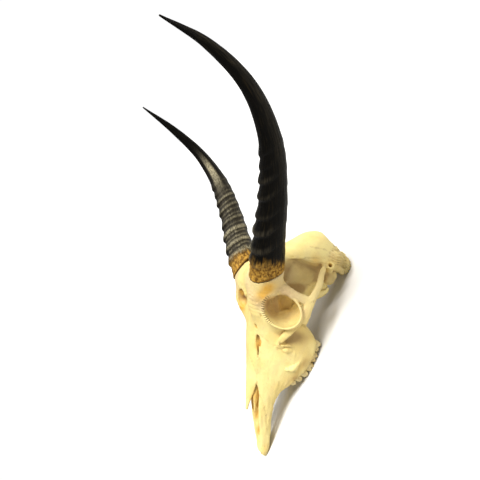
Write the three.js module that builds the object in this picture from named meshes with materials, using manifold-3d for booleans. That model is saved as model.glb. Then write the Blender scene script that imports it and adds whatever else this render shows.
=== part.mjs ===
import * as THREE from 'three';
import { LoftGeometry } from 'three/addons/geometries/LoftGeometry.js';
import { mergeVertices } from 'three/addons/utils/BufferGeometryUtils.js';
import Module from 'manifold-3d';

// Reedbuck skull with horns, at rest on its cheek teeth and occipital condyles.
// Millimetres. +X is the animal's left, -Y its snout and +Z up.

// Driving dimensions

const GAP = 0.35;
const RING_POINTS = 20;

// Half sections of the skull from snout to occiput. Each row is the place along Y, the height on the
// midline on top, six points (x, z) from the top down the side and in under the bone, and the height
// on the midline underneath.
const SKULL_SECTIONS = [
  [-155.4, 5.2, [3.0, 5.8], [5.0, 5.6], [5.8, 4.6], [5.6, 3.4], [4.4, 2.6], [2.6, 2.4], 2.6],
  [-152.5, 7.6, [4.8, 8.4], [8.0, 8.0], [9.5, 5.9], [9.3, 4.0], [7.6, 2.3], [4.2, 2.0], 2.2],
  [-146, 10.4, [5.4, 12.0], [9.6, 13.0], [11.6, 9.0], [11.4, 5.2], [9.2, 3.2], [4.8, 2.9], 3.1],
  [-134, 15.8, [6.5, 18.6], [12.4, 21.4], [14.0, 15.0], [13.6, 9.2], [11.0, 5.9], [5.5, 5.7], 6.2],
  [-118, 26.5, [8.5, 29.5], [15.2, 33.0], [17.0, 25.0], [16.4, 17.2], [13.4, 13.0], [6.8, 13.2], 14.2],
  [-102, 35.5, [9.5, 38.5], [16.4, 41.6], [18.5, 32.5], [18.1, 23.8], [15.0, 18.8], [7.8, 19.4], 20.6],
  [-89, 43.5, [9.5, 45.8], [16.8, 47.6], [19.6, 37.5], [19.4, 28.2], [16.4, 22.0], [8.8, 22.8], 24.2],
  [-76, 63.2, [9.0, 61.6], [15.8, 55.6], [20.8, 42.5], [22.2, 31.0], [18.6, 22.0], [10.0, 23.6], 25.2],
  [-62, 70.0, [9.5, 68.2], [17.2, 61.8], [24.2, 45.5], [26.4, 30.0], [23.4, 18.6], [12.5, 22.6], 26.0],
  [-50, 75.9, [10.0, 74.0], [18.7, 67.2], [27.4, 47.5], [31.0, 30.5], [28.0, 17.4], [15.5, 22.4], 26.5],
  [-38, 81.6, [10.5, 79.8], [20.2, 71.8], [31.0, 50.5], [35.6, 31.0], [32.2, 16.4], [17.5, 22.4], 27.0],
  [-24, 88.0, [11.5, 86.2], [22.7, 78.0], [34.0, 56.0], [38.8, 33.0], [35.4, 15.8], [18.5, 22.6], 27.5],
  [-12, 94.0, [12.5, 93.0], [25.3, 86.5], [36.5, 62.0], [40.6, 36.0], [36.4, 15.2], [18.8, 23.2], 28.0],
  [-2, 100.2, [13.5, 101.6], [28.0, 98.0], [38.5, 74.0], [40.4, 40.0], [36.0, 14.8], [18.5, 24.0], 29.0],
  [8, 106.8, [14.5, 109.6], [30.5, 106.6], [39.5, 84.0], [37.0, 48.0], [32.0, 21.5], [17.0, 25.5], 30.5],
  [20, 113.6, [16.0, 117.4], [33.5, 113.6], [46.5, 92.0], [27.0, 62.0], [21.0, 38.0], [13.5, 30.0], 34.0],
  [32, 119.6, [16.0, 123.0], [33.5, 118.6], [49.8, 92.0], [25.0, 68.0], [18.0, 44.0], [12.5, 33.0], 39.0],
  [45, 124.4, [16.0, 125.6], [32.0, 119.0], [47.0, 93.5], [30.5, 74.0], [22.5, 48.0], [14.0, 36.5], 42.0],
  [58, 121.5, [15.5, 121.2], [30.0, 113.5], [39.5, 96.0], [35.5, 74.0], [28.5, 50.0], [15.5, 38.0], 41.0],
  [70, 114.0, [15.5, 113.0], [29.0, 106.0], [37.8, 91.0], [36.8, 70.0], [31.5, 46.0], [17.0, 33.0], 34.5],
  [82, 104.5, [15.0, 103.2], [28.0, 97.0], [37.4, 81.0], [37.8, 60.0], [33.0, 37.0], [18.0, 24.0], 26.0],
  [94, 94.5, [14.5, 92.6], [27.0, 86.0], [36.2, 70.0], [37.4, 50.0], [33.0, 28.5], [18.0, 14.0], 14.0],
  [106, 85.2, [13.5, 82.8], [24.5, 76.0], [33.0, 61.5], [34.4, 43.0], [30.5, 24.0], [16.5, 10.0], 11.5],
  [118, 76.8, [11.5, 74.4], [20.5, 68.0], [28.0, 55.0], [29.0, 39.5], [25.5, 24.0], [14.0, 15.0], 16.0],
  [127, 68.4, [8.5, 65.8], [15.0, 60.0], [20.0, 50.5], [20.6, 40.5], [17.4, 30.0], [9.0, 24.5], 24.0],
  [133.4, 58.5, [4.5, 56.8], [8.0, 54.0], [10.6, 49.0], [10.6, 44.0], [8.6, 39.5], [4.5, 37.2], 36.8],
];

// The inside of the nose, from its opening back to the ethmoid: place, roof, half width and floor
const NASAL_CAVITY = [
  { y: -139, roof: 26, half: 5.0, floor: 11.5 },
  { y: -130, roof: 34, half: 8.2, floor: 14.0 },
  { y: -116, roof: 44, half: 11.6, floor: 19.5 },
  { y: -100, roof: 52, half: 13.2, floor: 25.0 },
  { y: -84, roof: 55.5, half: 14.0, floor: 29.5 },
  { y: -74, roof: 57.5, half: 14.4, floor: 31.0 },
  { y: -56, roof: 64, half: 14.5, floor: 33.0 },
  { y: -34, roof: 72, half: 14.5, floor: 35.0 },
  { y: -16, roof: 76, half: 12.0, floor: 38.0 },
];

// The nasal bones: place along Y, ridge height, half width and the height of the outer edge
const NASAL_BONES = [
  { y: -113.5, ridge: 47.8, half: 1.6, edge: 46.8 },
  { y: -106, ridge: 51.2, half: 4.0, edge: 48.6 },
  { y: -98, ridge: 54.6, half: 6.6, edge: 50.0 },
  { y: -88, ridge: 58.8, half: 10.2, edge: 51.8 },
  { y: -76, ridge: 64.0, half: 15.2, edge: 55.4 },
  { y: -60, ridge: 71.2, half: 16.8, edge: 62.0 },
];
const NASAL_THICKNESS = 3.0;

const ORBIT = {
  centre: [48.2, 14.0, 73.0],
  outward: [0.924, -0.174, 0.339],
  radius: 20.2,
  rimRadius: 2.7,
  // depth below the rim and radius of the socket there
  socket: [[-14, 21.0], [0, 20.2], [12, 21.8], [24, 16.5], [31, 8.0]],
  lean: [-0.05, 0.34, -0.12],
};

// The centre line of the left horn from its base to its tip
const HORN_LINE = [
  [37.5, 42.9, 104.5],
  [72.4, 81.5, 131.0],
  [103.9, 124.2, 157.5],
  [131.7, 162.8, 189.5],
  [150.7, 192.5, 234.2],
  [154.4, 207.7, 286.8],
  [144.1, 213.2, 341.9],
];
const HORN_RADII = [22.2, 18.4, 15.7, 12.9, 9.2, 5.9, 0.9];
const HORN_FRONT = [-0.30, -0.75, 0.60];
const HORN_SIDES = 10;
// places of the rings along the horn, their height, and how they fall off to the base and to the tip
const HORN_RINGS = [29, 47, 68, 88, 112, 131, 147, 163];
const HORN_RING_HEIGHT = 1.9;
const HORN_RING_WIDTH = { steep: 3.0, soft: 8.0 };
const HORN_RING_SLANT = 4;
const HORN_TIP_STEP = 18;
const HORN_RIM = { level: 9.5, slope: -7.0, cup: 5.0 };

// The bony pedicle under each horn and the core inside it: radius at its foot and where it starts and
// ends along the horn
const PEDICLE = { radius: 21.4, from: -34, to: 20 };
const CORE = { radius: 16.4, from: -20, to: 30 };

// Cheek teeth from front to back: name, front and back edge along Y, distance of the outer face from
// the midline at either edge, width across, height of the chewing face, lobes
const TEETH = [
  { name: 'p2', front: -61.6, back: -54.9, outer: [22.4, 25.4], width: 7.0, bite: 9.0, lobes: 1 },
  { name: 'p3', front: -54.4, back: -46.6, outer: [25.6, 28.3], width: 8.4, bite: 5.0, lobes: 1 },
  { name: 'p4', front: -46.1, back: -37.8, outer: [28.6, 30.8], width: 9.6, bite: 1.6, lobes: 1 },
  { name: 'm1', front: -37.3, back: -25.7, outer: [31.0, 33.2], width: 11.6, bite: 0.0, lobes: 2 },
  { name: 'm2', front: -25.2, back: -12.4, outer: [33.4, 34.8], width: 12.2, bite: 1.4, lobes: 2 },
  { name: 'm3', front: -11.9, back: 2.0, outer: [34.8, 33.8], width: 11.6, bite: 3.6, lobes: 2 },
];
const TOOTH_TOP = 24;

// Colours and finishes

const BONE = { color: 0xf1e29a, roughness: 0.5, metalness: 0 };
const HORN = { color: 0x1d1812, roughness: 0.42, metalness: 0 };
const ENAMEL = { color: 0xe6d39a, roughness: 0.35, metalness: 0 };

// Solids

const wasm = await Module();
wasm.setup();

function point([x, y, z]) {
  return new THREE.Vector3(x, y, z);
}

// The bare triangles of a geometry with the vertices on its seams and poles shared
function shared(geometry) {
  const shape = new THREE.BufferGeometry();
  shape.setAttribute('position', geometry.attributes.position.clone());
  shape.setIndex(geometry.index.clone());
  return mergeVertices(shape, 1e-3);
}

function solid(geometry) {
  const merged = shared(geometry);
  return new wasm.Manifold(new wasm.Mesh({
    numProp: 3,
    vertProperties: new Float32Array(merged.attributes.position.array),
    triVerts: new Uint32Array(merged.index.array),
  }));
}

function geometryOf(manifold) {
  const mesh = manifold.getMesh();
  const geometry = new THREE.BufferGeometry();
  geometry.setAttribute('position', new THREE.BufferAttribute(new Float32Array(mesh.vertProperties), 3));
  geometry.setIndex(new THREE.BufferAttribute(new Uint32Array(mesh.triVerts), 1));
  geometry.computeVertexNormals();
  return geometry;
}

// The same shape on the animal's other side, its faces turned back outwards
function mirrored(geometry) {
  const copy = shared(geometry);
  copy.scale(-1, 1, 1);
  const index = copy.index.array;
  for (let i = 0; i < index.length; i += 3) {
    [index[i], index[i + 1]] = [index[i + 1], index[i]];
  }
  return copy;
}

function bothSides(geometry) {
  return [geometry, mirrored(geometry)];
}

function joined(manifold, geometries) {
  return geometries.reduce((sum, geometry) => sum.add(solid(geometry)), manifold);
}

function cut(manifold, geometries) {
  return geometries.reduce((rest, geometry) => rest.subtract(solid(geometry)), manifold);
}

function loft(sections) {
  return new LoftGeometry(sections, { capStart: true, capEnd: true });
}

// One uniform Catmull-Rom step between b and c, for numbers
function between(a, b, c, d, t) {
  const slopeIn = (c - a) / 2;
  const slopeOut = (d - b) / 2;
  const t2 = t * t;
  const t3 = t2 * t;
  const places = (2 * t3 - 3 * t2 + 1) * b + (3 * t2 - 2 * t3) * c;
  const slopes = (t3 - 2 * t2 + t) * slopeIn + (t3 - t2) * slopeOut;
  return places + slopes;
}

// A closed ring at one place along Y from a half section, over the top to +X and back under to -X
function skullRing([y, top, ...rest]) {
  const bottom = rest.at(-1);
  const side = rest.slice(0, -1);
  const corners = [
    [0, top],
    ...side,
    [0, bottom],
    ...side.toReversed().map(([x, z]) => [-x, z]),
  ];
  const curve = new THREE.CatmullRomCurve3(corners.map(([x, z]) => new THREE.Vector3(x, y, z)), true);
  return Array.from({ length: RING_POINTS }, (_, i) => curve.getPoint(i / RING_POINTS));
}

// A tube along a path with an oval section: stations are { at, side, up }, side the half width across
// and up the half height towards the hint direction
function tube(stations, hint, sides) {
  const path = stations.map(({ at }) => point(at));
  const direction = point(hint);
  const sections = path.map((centre, i) => {
    const before = path[Math.max(i - 1, 0)];
    const after = path[Math.min(i + 1, path.length - 1)];
    const tangent = after.clone().sub(before).normalize();
    const up = direction.clone().addScaledVector(tangent, -direction.dot(tangent)).normalize();
    const across = up.clone().cross(tangent);
    return Array.from({ length: sides }, (_, k) => {
      const angle = (k / sides) * Math.PI * 2;
      return centre.clone()
        .addScaledVector(across, Math.cos(angle) * stations[i].side)
        .addScaledVector(up, Math.sin(angle) * stations[i].up);
    });
  });
  return loft(sections);
}

// An ellipsoid by its centre and half sizes, turned about X by a tilt in degrees and about Z by a turn
function ball(centre, half, { tilt = 0, turn = 0, columns = 9, rows = 6 } = {}) {
  const geometry = shared(new THREE.SphereGeometry(1, columns, rows));
  geometry.scale(...half);
  geometry.rotateX(THREE.MathUtils.degToRad(tilt));
  geometry.rotateZ(THREE.MathUtils.degToRad(turn));
  geometry.translate(...centre);
  return geometry;
}

// Skull body

function skullBody() {
  return loft(SKULL_SECTIONS.map(skullRing));
}

function nasalCavity() {
  const sides = 10;
  return loft(NASAL_CAVITY.map(({ y, roof, half, floor }) => {
    const middle = (roof + floor) / 2;
    const rise = (roof - floor) / 2;
    return Array.from({ length: sides }, (_, k) => {
      const angle = (k / sides) * Math.PI * 2;
      return new THREE.Vector3(Math.sin(angle) * half, y, middle + Math.cos(angle) * rise);
    });
  }));
}

// The arched pair of nasal bones, a shell that runs out over the nose opening to two points
function nasalBones() {
  const across = [-1, -0.6, -0.2, 0.2, 0.6, 1];
  const arch = (station, k) => station.edge + (station.ridge - station.edge) * Math.cos(k * Math.PI / 2);
  return loft(NASAL_BONES.map((station) => {
    const upper = across.toReversed().map((k) => {
      return new THREE.Vector3(-k * station.half, station.y, arch(station, k));
    });
    const lower = across.toReversed().map((k) => {
      return new THREE.Vector3(k * station.half, station.y, arch(station, k) - NASAL_THICKNESS);
    });
    return [...upper, ...lower];
  }));
}

// Orbit

function orbitFrame() {
  const out = point(ORBIT.outward).normalize();
  const up = new THREE.Vector3(0, 0, 1).addScaledVector(out, -out.z).normalize();
  const back = up.clone().cross(out);
  return { centre: point(ORBIT.centre), out, up, back };
}

// The raised ring around the eye socket, its lower edge sharper and prouder than the brow
function orbitRim() {
  const { centre, out, up, back } = orbitFrame();
  const steps = 16;
  const sides = 5;
  const sections = Array.from({ length: steps + 1 }, (_, i) => {
    const around = ((i % steps) / steps) * Math.PI * 2;
    const radial = up.clone().multiplyScalar(Math.cos(around)).addScaledVector(back, Math.sin(around));
    const place = centre.clone().addScaledVector(radial, ORBIT.radius + ORBIT.rimRadius * 0.9);
    return Array.from({ length: sides }, (_, k) => {
      const angle = (k / sides) * Math.PI * 2;
      return place.clone()
        .addScaledVector(radial, Math.cos(angle) * ORBIT.rimRadius)
        .addScaledVector(out, Math.sin(angle) * ORBIT.rimRadius * 1.5);
    });
  });
  return new LoftGeometry(sections, { capStart: false, capEnd: false });
}

// The eye socket: rings that lean back and inwards with depth
function orbitSocket() {
  const { centre, out, up, back } = orbitFrame();
  const sides = 14;
  const lean = point(ORBIT.lean);
  const sections = ORBIT.socket.map(([depth, radius]) => {
    const place = centre.clone().addScaledVector(out, -depth).addScaledVector(lean, Math.max(depth, 0));
    return Array.from({ length: sides }, (_, k) => {
      const angle = (k / sides) * Math.PI * 2;
      return place.clone()
        .addScaledVector(back, Math.cos(angle) * radius)
        .addScaledVector(up, Math.sin(angle) * radius);
    });
  });
  return loft(sections.toReversed());
}

// Horns

const hornCurve = new THREE.CatmullRomCurve3(HORN_LINE.map(point));
hornCurve.arcLengthDivisions = 400;
const hornLength = hornCurve.getLength();

function hornRadius(share) {
  const place = share * (HORN_RADII.length - 1);
  const i = Math.min(Math.floor(place), HORN_RADII.length - 2);
  const pick = (n) => HORN_RADII[Math.min(Math.max(n, 0), HORN_RADII.length - 1)];
  return between(pick(i - 1), pick(i), pick(i + 1), pick(i + 2), place - i);
}

// A ring stands steep towards the base and runs out softly towards the tip
function ringHeight(at) {
  return HORN_RINGS.reduce((sum, ring) => {
    const rise = at - ring;
    const fade = 1 - 0.45 * (ring / HORN_RINGS.at(-1));
    const width = rise < 0 ? HORN_RING_WIDTH.steep : HORN_RING_WIDTH.soft;
    return sum + HORN_RING_HEIGHT * fade * Math.exp(-((rise / width) ** 2));
  }, 0);
}

function hornFrame(at) {
  const share = Math.min(Math.max(at / hornLength, 0), 1);
  const tangent = hornCurve.getTangentAt(share);
  const centre = hornCurve.getPointAt(share);
  if (at < 0) {
    centre.addScaledVector(tangent, at);
  }
  const hint = point(HORN_FRONT);
  const front = hint.addScaledVector(tangent, -hint.dot(tangent)).normalize();
  const side = front.clone().cross(tangent).negate();
  return { share, centre, tangent, front, side };
}

// How far along the horn its lower rim lies, by the direction around the horn
function rimLevel(front, side) {
  return HORN_RIM.level + HORN_RIM.slope * front + HORN_RIM.cup * side * side;
}

// The horn's outer surface, grown by the given amount to cut its seat in the bone
function hornSurface(grow) {
  const around = (ring) => [ring - 3.4, ring, ring + 6.5];
  const stations = [0, 10, ...HORN_RINGS.flatMap(around)];
  for (let at = HORN_RINGS.at(-1) + HORN_TIP_STEP; at < hornLength - 8; at += HORN_TIP_STEP) {
    stations.push(at);
  }
  stations.push(hornLength);
  const blendEnd = HORN_RINGS[0] + 10;
  return loft(stations.map((station) => {
    return Array.from({ length: HORN_SIDES }, (_, k) => {
      const angle = (k / HORN_SIDES) * Math.PI * 2;
      const toFront = Math.cos(angle);
      const toSide = Math.sin(angle);
      const rim = rimLevel(toFront, toSide) - grow;
      const raised = station < blendEnd ? rim + (blendEnd - rim) * (station / blendEnd) : station;
      const slant = HORN_RING_SLANT * (1 - toFront) * Math.sin((station / hornLength) * Math.PI);
      const place = raised + slant;
      const { share, centre, front, side } = hornFrame(place);
      const relief = (0.55 + 0.45 * toFront) * ringHeight(raised);
      const radius = hornRadius(share) + relief + grow;
      return centre.addScaledVector(front, toFront * radius).addScaledVector(side, toSide * radius);
    });
  }));
}

// A round bony stem along the horn's own line
function hornCore({ radius, from, to }, grow) {
  const sides = 10;
  const steps = 3;
  return loft(Array.from({ length: steps + 1 }, (_, i) => {
    const at = from + (to + grow - from) * (i / steps);
    const { centre, front, side } = hornFrame(at);
    const size = radius * (1 - 0.1 * (i / steps)) + grow;
    return Array.from({ length: sides }, (_, k) => {
      const angle = (k / sides) * Math.PI * 2;
      return centre.clone()
        .addScaledVector(front, Math.cos(angle) * size)
        .addScaledVector(side, Math.sin(angle) * size);
    });
  }));
}

// Teeth

// Outline of a cheek tooth from below: the outer face is ribbed, the inner face has one or two lobes
function toothOutline({ front, back, outer, width, lobes }) {
  const steps = lobes * 4;
  const length = back - front;
  const outerFace = [];
  const innerFace = [];
  for (let i = 0; i <= steps; i += 1) {
    const along = i / steps;
    const y = front + length * along;
    const face = outer[0] + (outer[1] - outer[0]) * along;
    const rib = 0.55 * Math.abs(Math.sin(along * Math.PI * lobes)) - 0.4;
    const lobe = width * (0.80 + 0.20 * Math.abs(Math.sin(along * Math.PI * lobes)));
    const end = 0.9 * (1 - Math.min(1, 6 * Math.min(along, 1 - along)));
    outerFace.push([face + rib - end, y]);
    innerFace.push([face + rib - lobe + end, y]);
  }
  return [...outerFace, ...innerFace.toReversed()];
}

function tooth(spec) {
  const outline = toothOutline(spec);
  return loft([spec.bite, TOOTH_TOP].map((z) => outline.map(([x, y]) => new THREE.Vector3(x, y, z))));
}

// The straight-sided socket that a tooth sits in
function toothSocket({ front, back, outer, width }) {
  const outline = [
    [outer[0] + 0.2 + GAP, front - GAP],
    [outer[1] + 0.2 + GAP, back + GAP],
    [outer[1] - width - 0.4 - GAP, back + GAP],
    [outer[0] - width - 0.4 - GAP, front - GAP],
  ];
  return loft([-4, TOOTH_TOP + GAP].map((z) => outline.map(([x, y]) => new THREE.Vector3(x, y, z))));
}

// Cranium

function cheekbone() {
  return tube([
    { at: [35.0, -24.0, 53.0], side: 3.0, up: 4.0 },
    { at: [41.0, -14.0, 53.5], side: 4.2, up: 6.5 },
    { at: [47.5, -1.0, 49.5], side: 4.2, up: 8.0 },
    { at: [52.6, 14.0, 46.5], side: 3.6, up: 7.4 },
    { at: [54.4, 28.0, 46.5], side: 3.0, up: 6.0 },
    { at: [54.4, 40.0, 47.0], side: 2.6, up: 5.0 },
    { at: [54.6, 52.0, 46.4], side: 2.3, up: 3.8 },
    { at: [54.0, 64.0, 46.6], side: 2.2, up: 3.2 },
    { at: [51.0, 76.0, 47.2], side: 2.3, up: 3.0 },
    { at: [45.0, 86.0, 45.4], side: 2.8, up: 3.4 },
    { at: [34.0, 93.0, 42.0], side: 4.0, up: 5.0 },
  ], [0, 0, 1], 8);
}

function postorbitalBar() {
  return tube([
    { at: [38.0, 44.0, 94.0], side: 8.0, up: 5.0 },
    { at: [47.5, 41.5, 87.5], side: 6.6, up: 3.6 },
    { at: [51.8, 39.5, 77.0], side: 5.6, up: 3.0 },
    { at: [53.8, 38.6, 65.0], side: 5.2, up: 2.8 },
    { at: [54.6, 38.6, 54.0], side: 5.6, up: 2.7 },
    { at: [54.4, 38.0, 45.0], side: 6.0, up: 2.6 },
  ], [1, 0, 0], 8);
}

// The palatine and pterygoid plate with its hook, and the muscular process behind it
function pterygoidPlate() {
  return tube([
    { at: [15.5, 4.0, 33.0], side: 3.0, up: 7.0 },
    { at: [14.5, 20.0, 31.0], side: 2.4, up: 10.0 },
    { at: [14.0, 36.0, 31.0], side: 2.2, up: 11.5 },
    { at: [14.5, 50.0, 33.0], side: 2.2, up: 10.0 },
    { at: [17.0, 62.0, 30.0], side: 2.4, up: 12.0 },
    { at: [20.0, 72.0, 27.0], side: 3.0, up: 10.0 },
  ], [0, 0, 1], 6);
}

function earAndBase() {
  const bulla = ball([25.5, 80.5, 22.5], [9.0, 10.5, 10.0], { tilt: 20 });
  const meatus = tube([
    { at: [28.0, 88.0, 31.0], side: 5.4, up: 5.4 },
    { at: [35.0, 91.0, 34.5], side: 5.2, up: 5.2 },
    { at: [40.0, 92.6, 36.4], side: 5.6, up: 5.6 },
  ], [0, 0, 1], 10);
  const condyle = ball([14.0, 106.0, 8.1], [7.6, 11.4, 8.2], { tilt: 12 });
  const process = tube([
    { at: [27.0, 99.0, 30.0], side: 5.0, up: 6.0 },
    { at: [26.5, 97.0, 18.0], side: 3.6, up: 5.0 },
    { at: [24.5, 94.5, 8.0], side: 2.4, up: 3.4 },
    { at: [23.5, 93.0, 4.0], side: 1.4, up: 2.0 },
  ], [0, 1, 0], 8);
  const mastoid = ball([27.5, 104.0, 31.0], [9.0, 10.5, 12.5], { tilt: 20 });
  return [bulla, meatus, condyle, process, mastoid];
}

// The lump on the cheek where the chewing muscle starts
function facialTuber() {
  return ball([33.4, -40.5, 24.5], [4.6, 6.2, 4.8], { tilt: -20 });
}

function eyeSocketWall() {
  const { centre, out } = orbitFrame();
  const place = centre.clone().addScaledVector(out, -15).add(new THREE.Vector3(0, -1.5, 0));
  return ball(place.toArray(), [19, 25.5, 24.5], { turn: -8, columns: 14, rows: 9 });
}

// Everything that is hollow on one side of the skull
function sideHollows() {
  const temporalFossa = ball([50.5, 59.5, 65.0], [16.5, 19.5, 24.0], { columns: 12, rows: 8 });
  const underCheek = ball([47.0, 40.0, 26.0], [17.6, 26.0, 17.5], { tilt: 8, columns: 12, rows: 8 });
  const browPit = ball([20.5, 12.0, 112.0], [3.6, 10.0, 4.6], { tilt: 32 });
  const browHole = tube([
    { at: [19.5, 14.0, 112.0], side: 1.3, up: 1.9 },
    { at: [20.5, 19.0, 98.0], side: 1.3, up: 1.9 },
  ], [0, 1, 0], 6);
  const gapInFace = ball([18.6, -33.5, 74.0], [3.2, 9.5, 3.4], { tilt: 25, columns: 8, rows: 6 });
  const smallGap = ball([21.5, -13.0, 88.0], [1.8, 4.0, 4.0], { tilt: 28, columns: 6, rows: 4 });
  const slitInPalate = tube([
    { at: [5.4, -104.0, 26.0], side: 2.0, up: 12.0 },
    { at: [5.4, -128.0, 20.0], side: 1.6, up: 12.0 },
  ], [0, 0, 1], 10);
  const earHole = tube([
    { at: [30.0, 89.0, 32.4], side: 2.4, up: 2.4 },
    { at: [42.0, 93.2, 37.2], side: 2.8, up: 2.8 },
  ], [0, 0, 1], 8);
  return [temporalFossa, underCheek, browPit, browHole, gapInFace, smallGap, slitInPalate, earHole];
}

function middleHollows() {
  const tipSlit = tube([
    { at: [0, -160.0, 6.0], side: 1.1, up: 9.0 },
    { at: [0, -138.0, 9.0], side: 0.7, up: 9.0 },
  ], [0, 0, 1], 8);
  const throat = tube([
    { at: [0, 6.0, 30.0], side: 7.0, up: 4.0 },
    { at: [0, 14.0, 28.0], side: 10.0, up: 12.0 },
    { at: [0, 34.0, 26.0], side: 10.6, up: 15.0 },
    { at: [0, 56.0, 22.0], side: 11.5, up: 14.0 },
    { at: [0, 74.0, 13.0], side: 12.0, up: 12.0 },
  ], [0, 0, 1], 14);
  const spinalHole = tube([
    { at: [0, 88.0, 36.0], side: 7.0, up: 6.0 },
    { at: [0, 104.0, 22.0], side: 8.2, up: 7.5 },
    { at: [0, 122.0, 6.0], side: 9.5, up: 9.0 },
  ], [0, 0.6, 0.8], 14);
  return [tipSlit, throat, spinalHole];
}

// The scrolls and the middle plate inside the nose
function noseInside() {
  const scroll = tube([
    { at: [7.2, -97.0, 37.0], side: 1.6, up: 3.0 },
    { at: [7.8, -86.0, 41.5], side: 3.0, up: 6.5 },
    { at: [8.4, -50.0, 50.0], side: 3.8, up: 9.0 },
    { at: [8.6, -12.0, 58.0], side: 4.0, up: 12.0 },
  ], [0, 0, 1], 6);
  const plate = tube([
    { at: [0, -96.0, 27.0], side: 0.9, up: 4.0 },
    { at: [0, -70.0, 40.0], side: 1.2, up: 14.0 },
    { at: [0, -12.0, 56.0], side: 1.6, up: 24.0 },
  ], [0, 0, 1], 6);
  return [...bothSides(scroll), plate];
}

function cranium() {
  let skull = solid(skullBody());
  skull = joined(skull, bothSides(eyeSocketWall()));
  skull = joined(skull, bothSides(hornCore(PEDICLE, 0)));
  skull = joined(skull, earAndBase().flatMap(bothSides));
  skull = cut(skull, sideHollows().flatMap(bothSides));
  skull = cut(skull, [nasalCavity(), ...middleHollows()]);
  skull = joined(skull, [nasalBones(), ...noseInside()]);
  skull = joined(skull, [cheekbone(), postorbitalBar(), facialTuber(), orbitRim()].flatMap(bothSides));
  skull = joined(skull, bothSides(pterygoidPlate()));
  skull = cut(skull, bothSides(orbitSocket()));
  skull = cut(skull, bothSides(hornSurface(GAP)));
  skull = joined(skull, bothSides(hornCore(CORE, 0)));
  return cut(skull, TEETH.flatMap((spec) => bothSides(toothSocket(spec))));
}

// Assembly

function piece(name, geometry, finish) {
  const mesh = new THREE.Mesh(geometry, new THREE.MeshStandardMaterial(finish));
  mesh.name = name;
  return mesh;
}

const group = new THREE.Group();
group.add(piece('cranium', geometryOf(cranium()), BONE));

const sheath = geometryOf(cut(solid(hornSurface(0)), [hornCore(CORE, GAP)]));
group.add(piece('horn_sheath_left', sheath, HORN));
group.add(piece('horn_sheath_right', mirrored(sheath), HORN));

for (const spec of TEETH) {
  const crown = tooth(spec);
  group.add(piece(`tooth_left_${spec.name}`, crown, ENAMEL));
  group.add(piece(`tooth_right_${spec.name}`, mirrored(crown), ENAMEL));
}

// The origin is the middle of the bounding box, on the ground
const box = new THREE.Box3().setFromObject(group);
group.position.set(0, -(box.min.y + box.max.y) / 2, -box.min.z);

export default group;
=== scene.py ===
"""The looks of a reedbuck skull with horns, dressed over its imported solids.

The bone is worked out as a distance field on a fine grid, because its arches, sockets and hollows
can't be one sheet over two parameters. Horns and teeth are sheets over two parameters. Shapes are
written in millimetres in the skull's own frame: +X the animal's left, -Y its snout, +Z up.
"""

import logging
from dataclasses import dataclass, field
from enum import Enum
from itertools import product
from typing import Protocol

import bpy
import numpy as np
from mathutils import Matrix, Vector


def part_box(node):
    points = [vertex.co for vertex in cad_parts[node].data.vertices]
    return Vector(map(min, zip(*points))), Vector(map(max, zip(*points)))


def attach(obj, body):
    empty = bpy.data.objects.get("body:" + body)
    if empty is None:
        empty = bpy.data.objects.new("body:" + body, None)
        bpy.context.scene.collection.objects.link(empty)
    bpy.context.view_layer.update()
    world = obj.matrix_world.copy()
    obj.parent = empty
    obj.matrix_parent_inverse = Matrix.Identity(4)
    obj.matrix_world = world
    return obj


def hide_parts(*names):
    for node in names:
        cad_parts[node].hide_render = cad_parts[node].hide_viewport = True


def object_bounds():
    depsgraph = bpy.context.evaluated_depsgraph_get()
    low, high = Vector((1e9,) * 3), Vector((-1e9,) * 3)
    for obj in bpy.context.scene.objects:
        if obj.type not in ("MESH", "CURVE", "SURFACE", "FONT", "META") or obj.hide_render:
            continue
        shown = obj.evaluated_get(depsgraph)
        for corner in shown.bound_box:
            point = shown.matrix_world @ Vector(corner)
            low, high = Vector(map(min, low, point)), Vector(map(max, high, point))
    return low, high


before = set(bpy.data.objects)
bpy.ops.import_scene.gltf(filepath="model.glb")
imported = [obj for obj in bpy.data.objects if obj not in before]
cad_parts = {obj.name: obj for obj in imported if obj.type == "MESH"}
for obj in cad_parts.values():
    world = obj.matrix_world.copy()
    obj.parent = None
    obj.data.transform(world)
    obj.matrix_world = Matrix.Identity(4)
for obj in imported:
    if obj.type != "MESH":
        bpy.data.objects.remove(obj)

CAD_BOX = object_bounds()
LOG = logging.getLogger("skull")

Array = np.ndarray
Pair = tuple[Array, Array]
Rows = tuple[tuple[float, ...], ...]
Mesh = bpy.types.Mesh
Material = bpy.types.Material
Thing = bpy.types.Object
Node = bpy.types.Node
NodeTree = bpy.types.NodeTree
Socket = bpy.types.NodeSocket
Point = tuple[float, float, float]
Colour = tuple[float, float, float]

# Metres to a millimetre, and how far inside the solids' box the surfaces stay, in metres
MM = 0.001
BOX_INSET = 0.0001
# Where the snout's tip lies along Y in the skull's own frame
SNOUT_TIP = -155.4
# Entries in a random field's table, and the multipliers that spread lattice corners over it
NOISE_TABLE = 65536
NOISE_PRIMES = (73856093, 19349663, 83492791)


class Slot(str, Enum):
    """The record's material slots."""

    BONE = "bone"
    HORN = "horn"
    ENAMEL = "enamel"


class View(Enum):
    """The side from which a seam is drawn: the two axes that it is measured along."""

    SIDE = (1, 2)
    TOP = (0, 1)


# Numbers and curves


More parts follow.
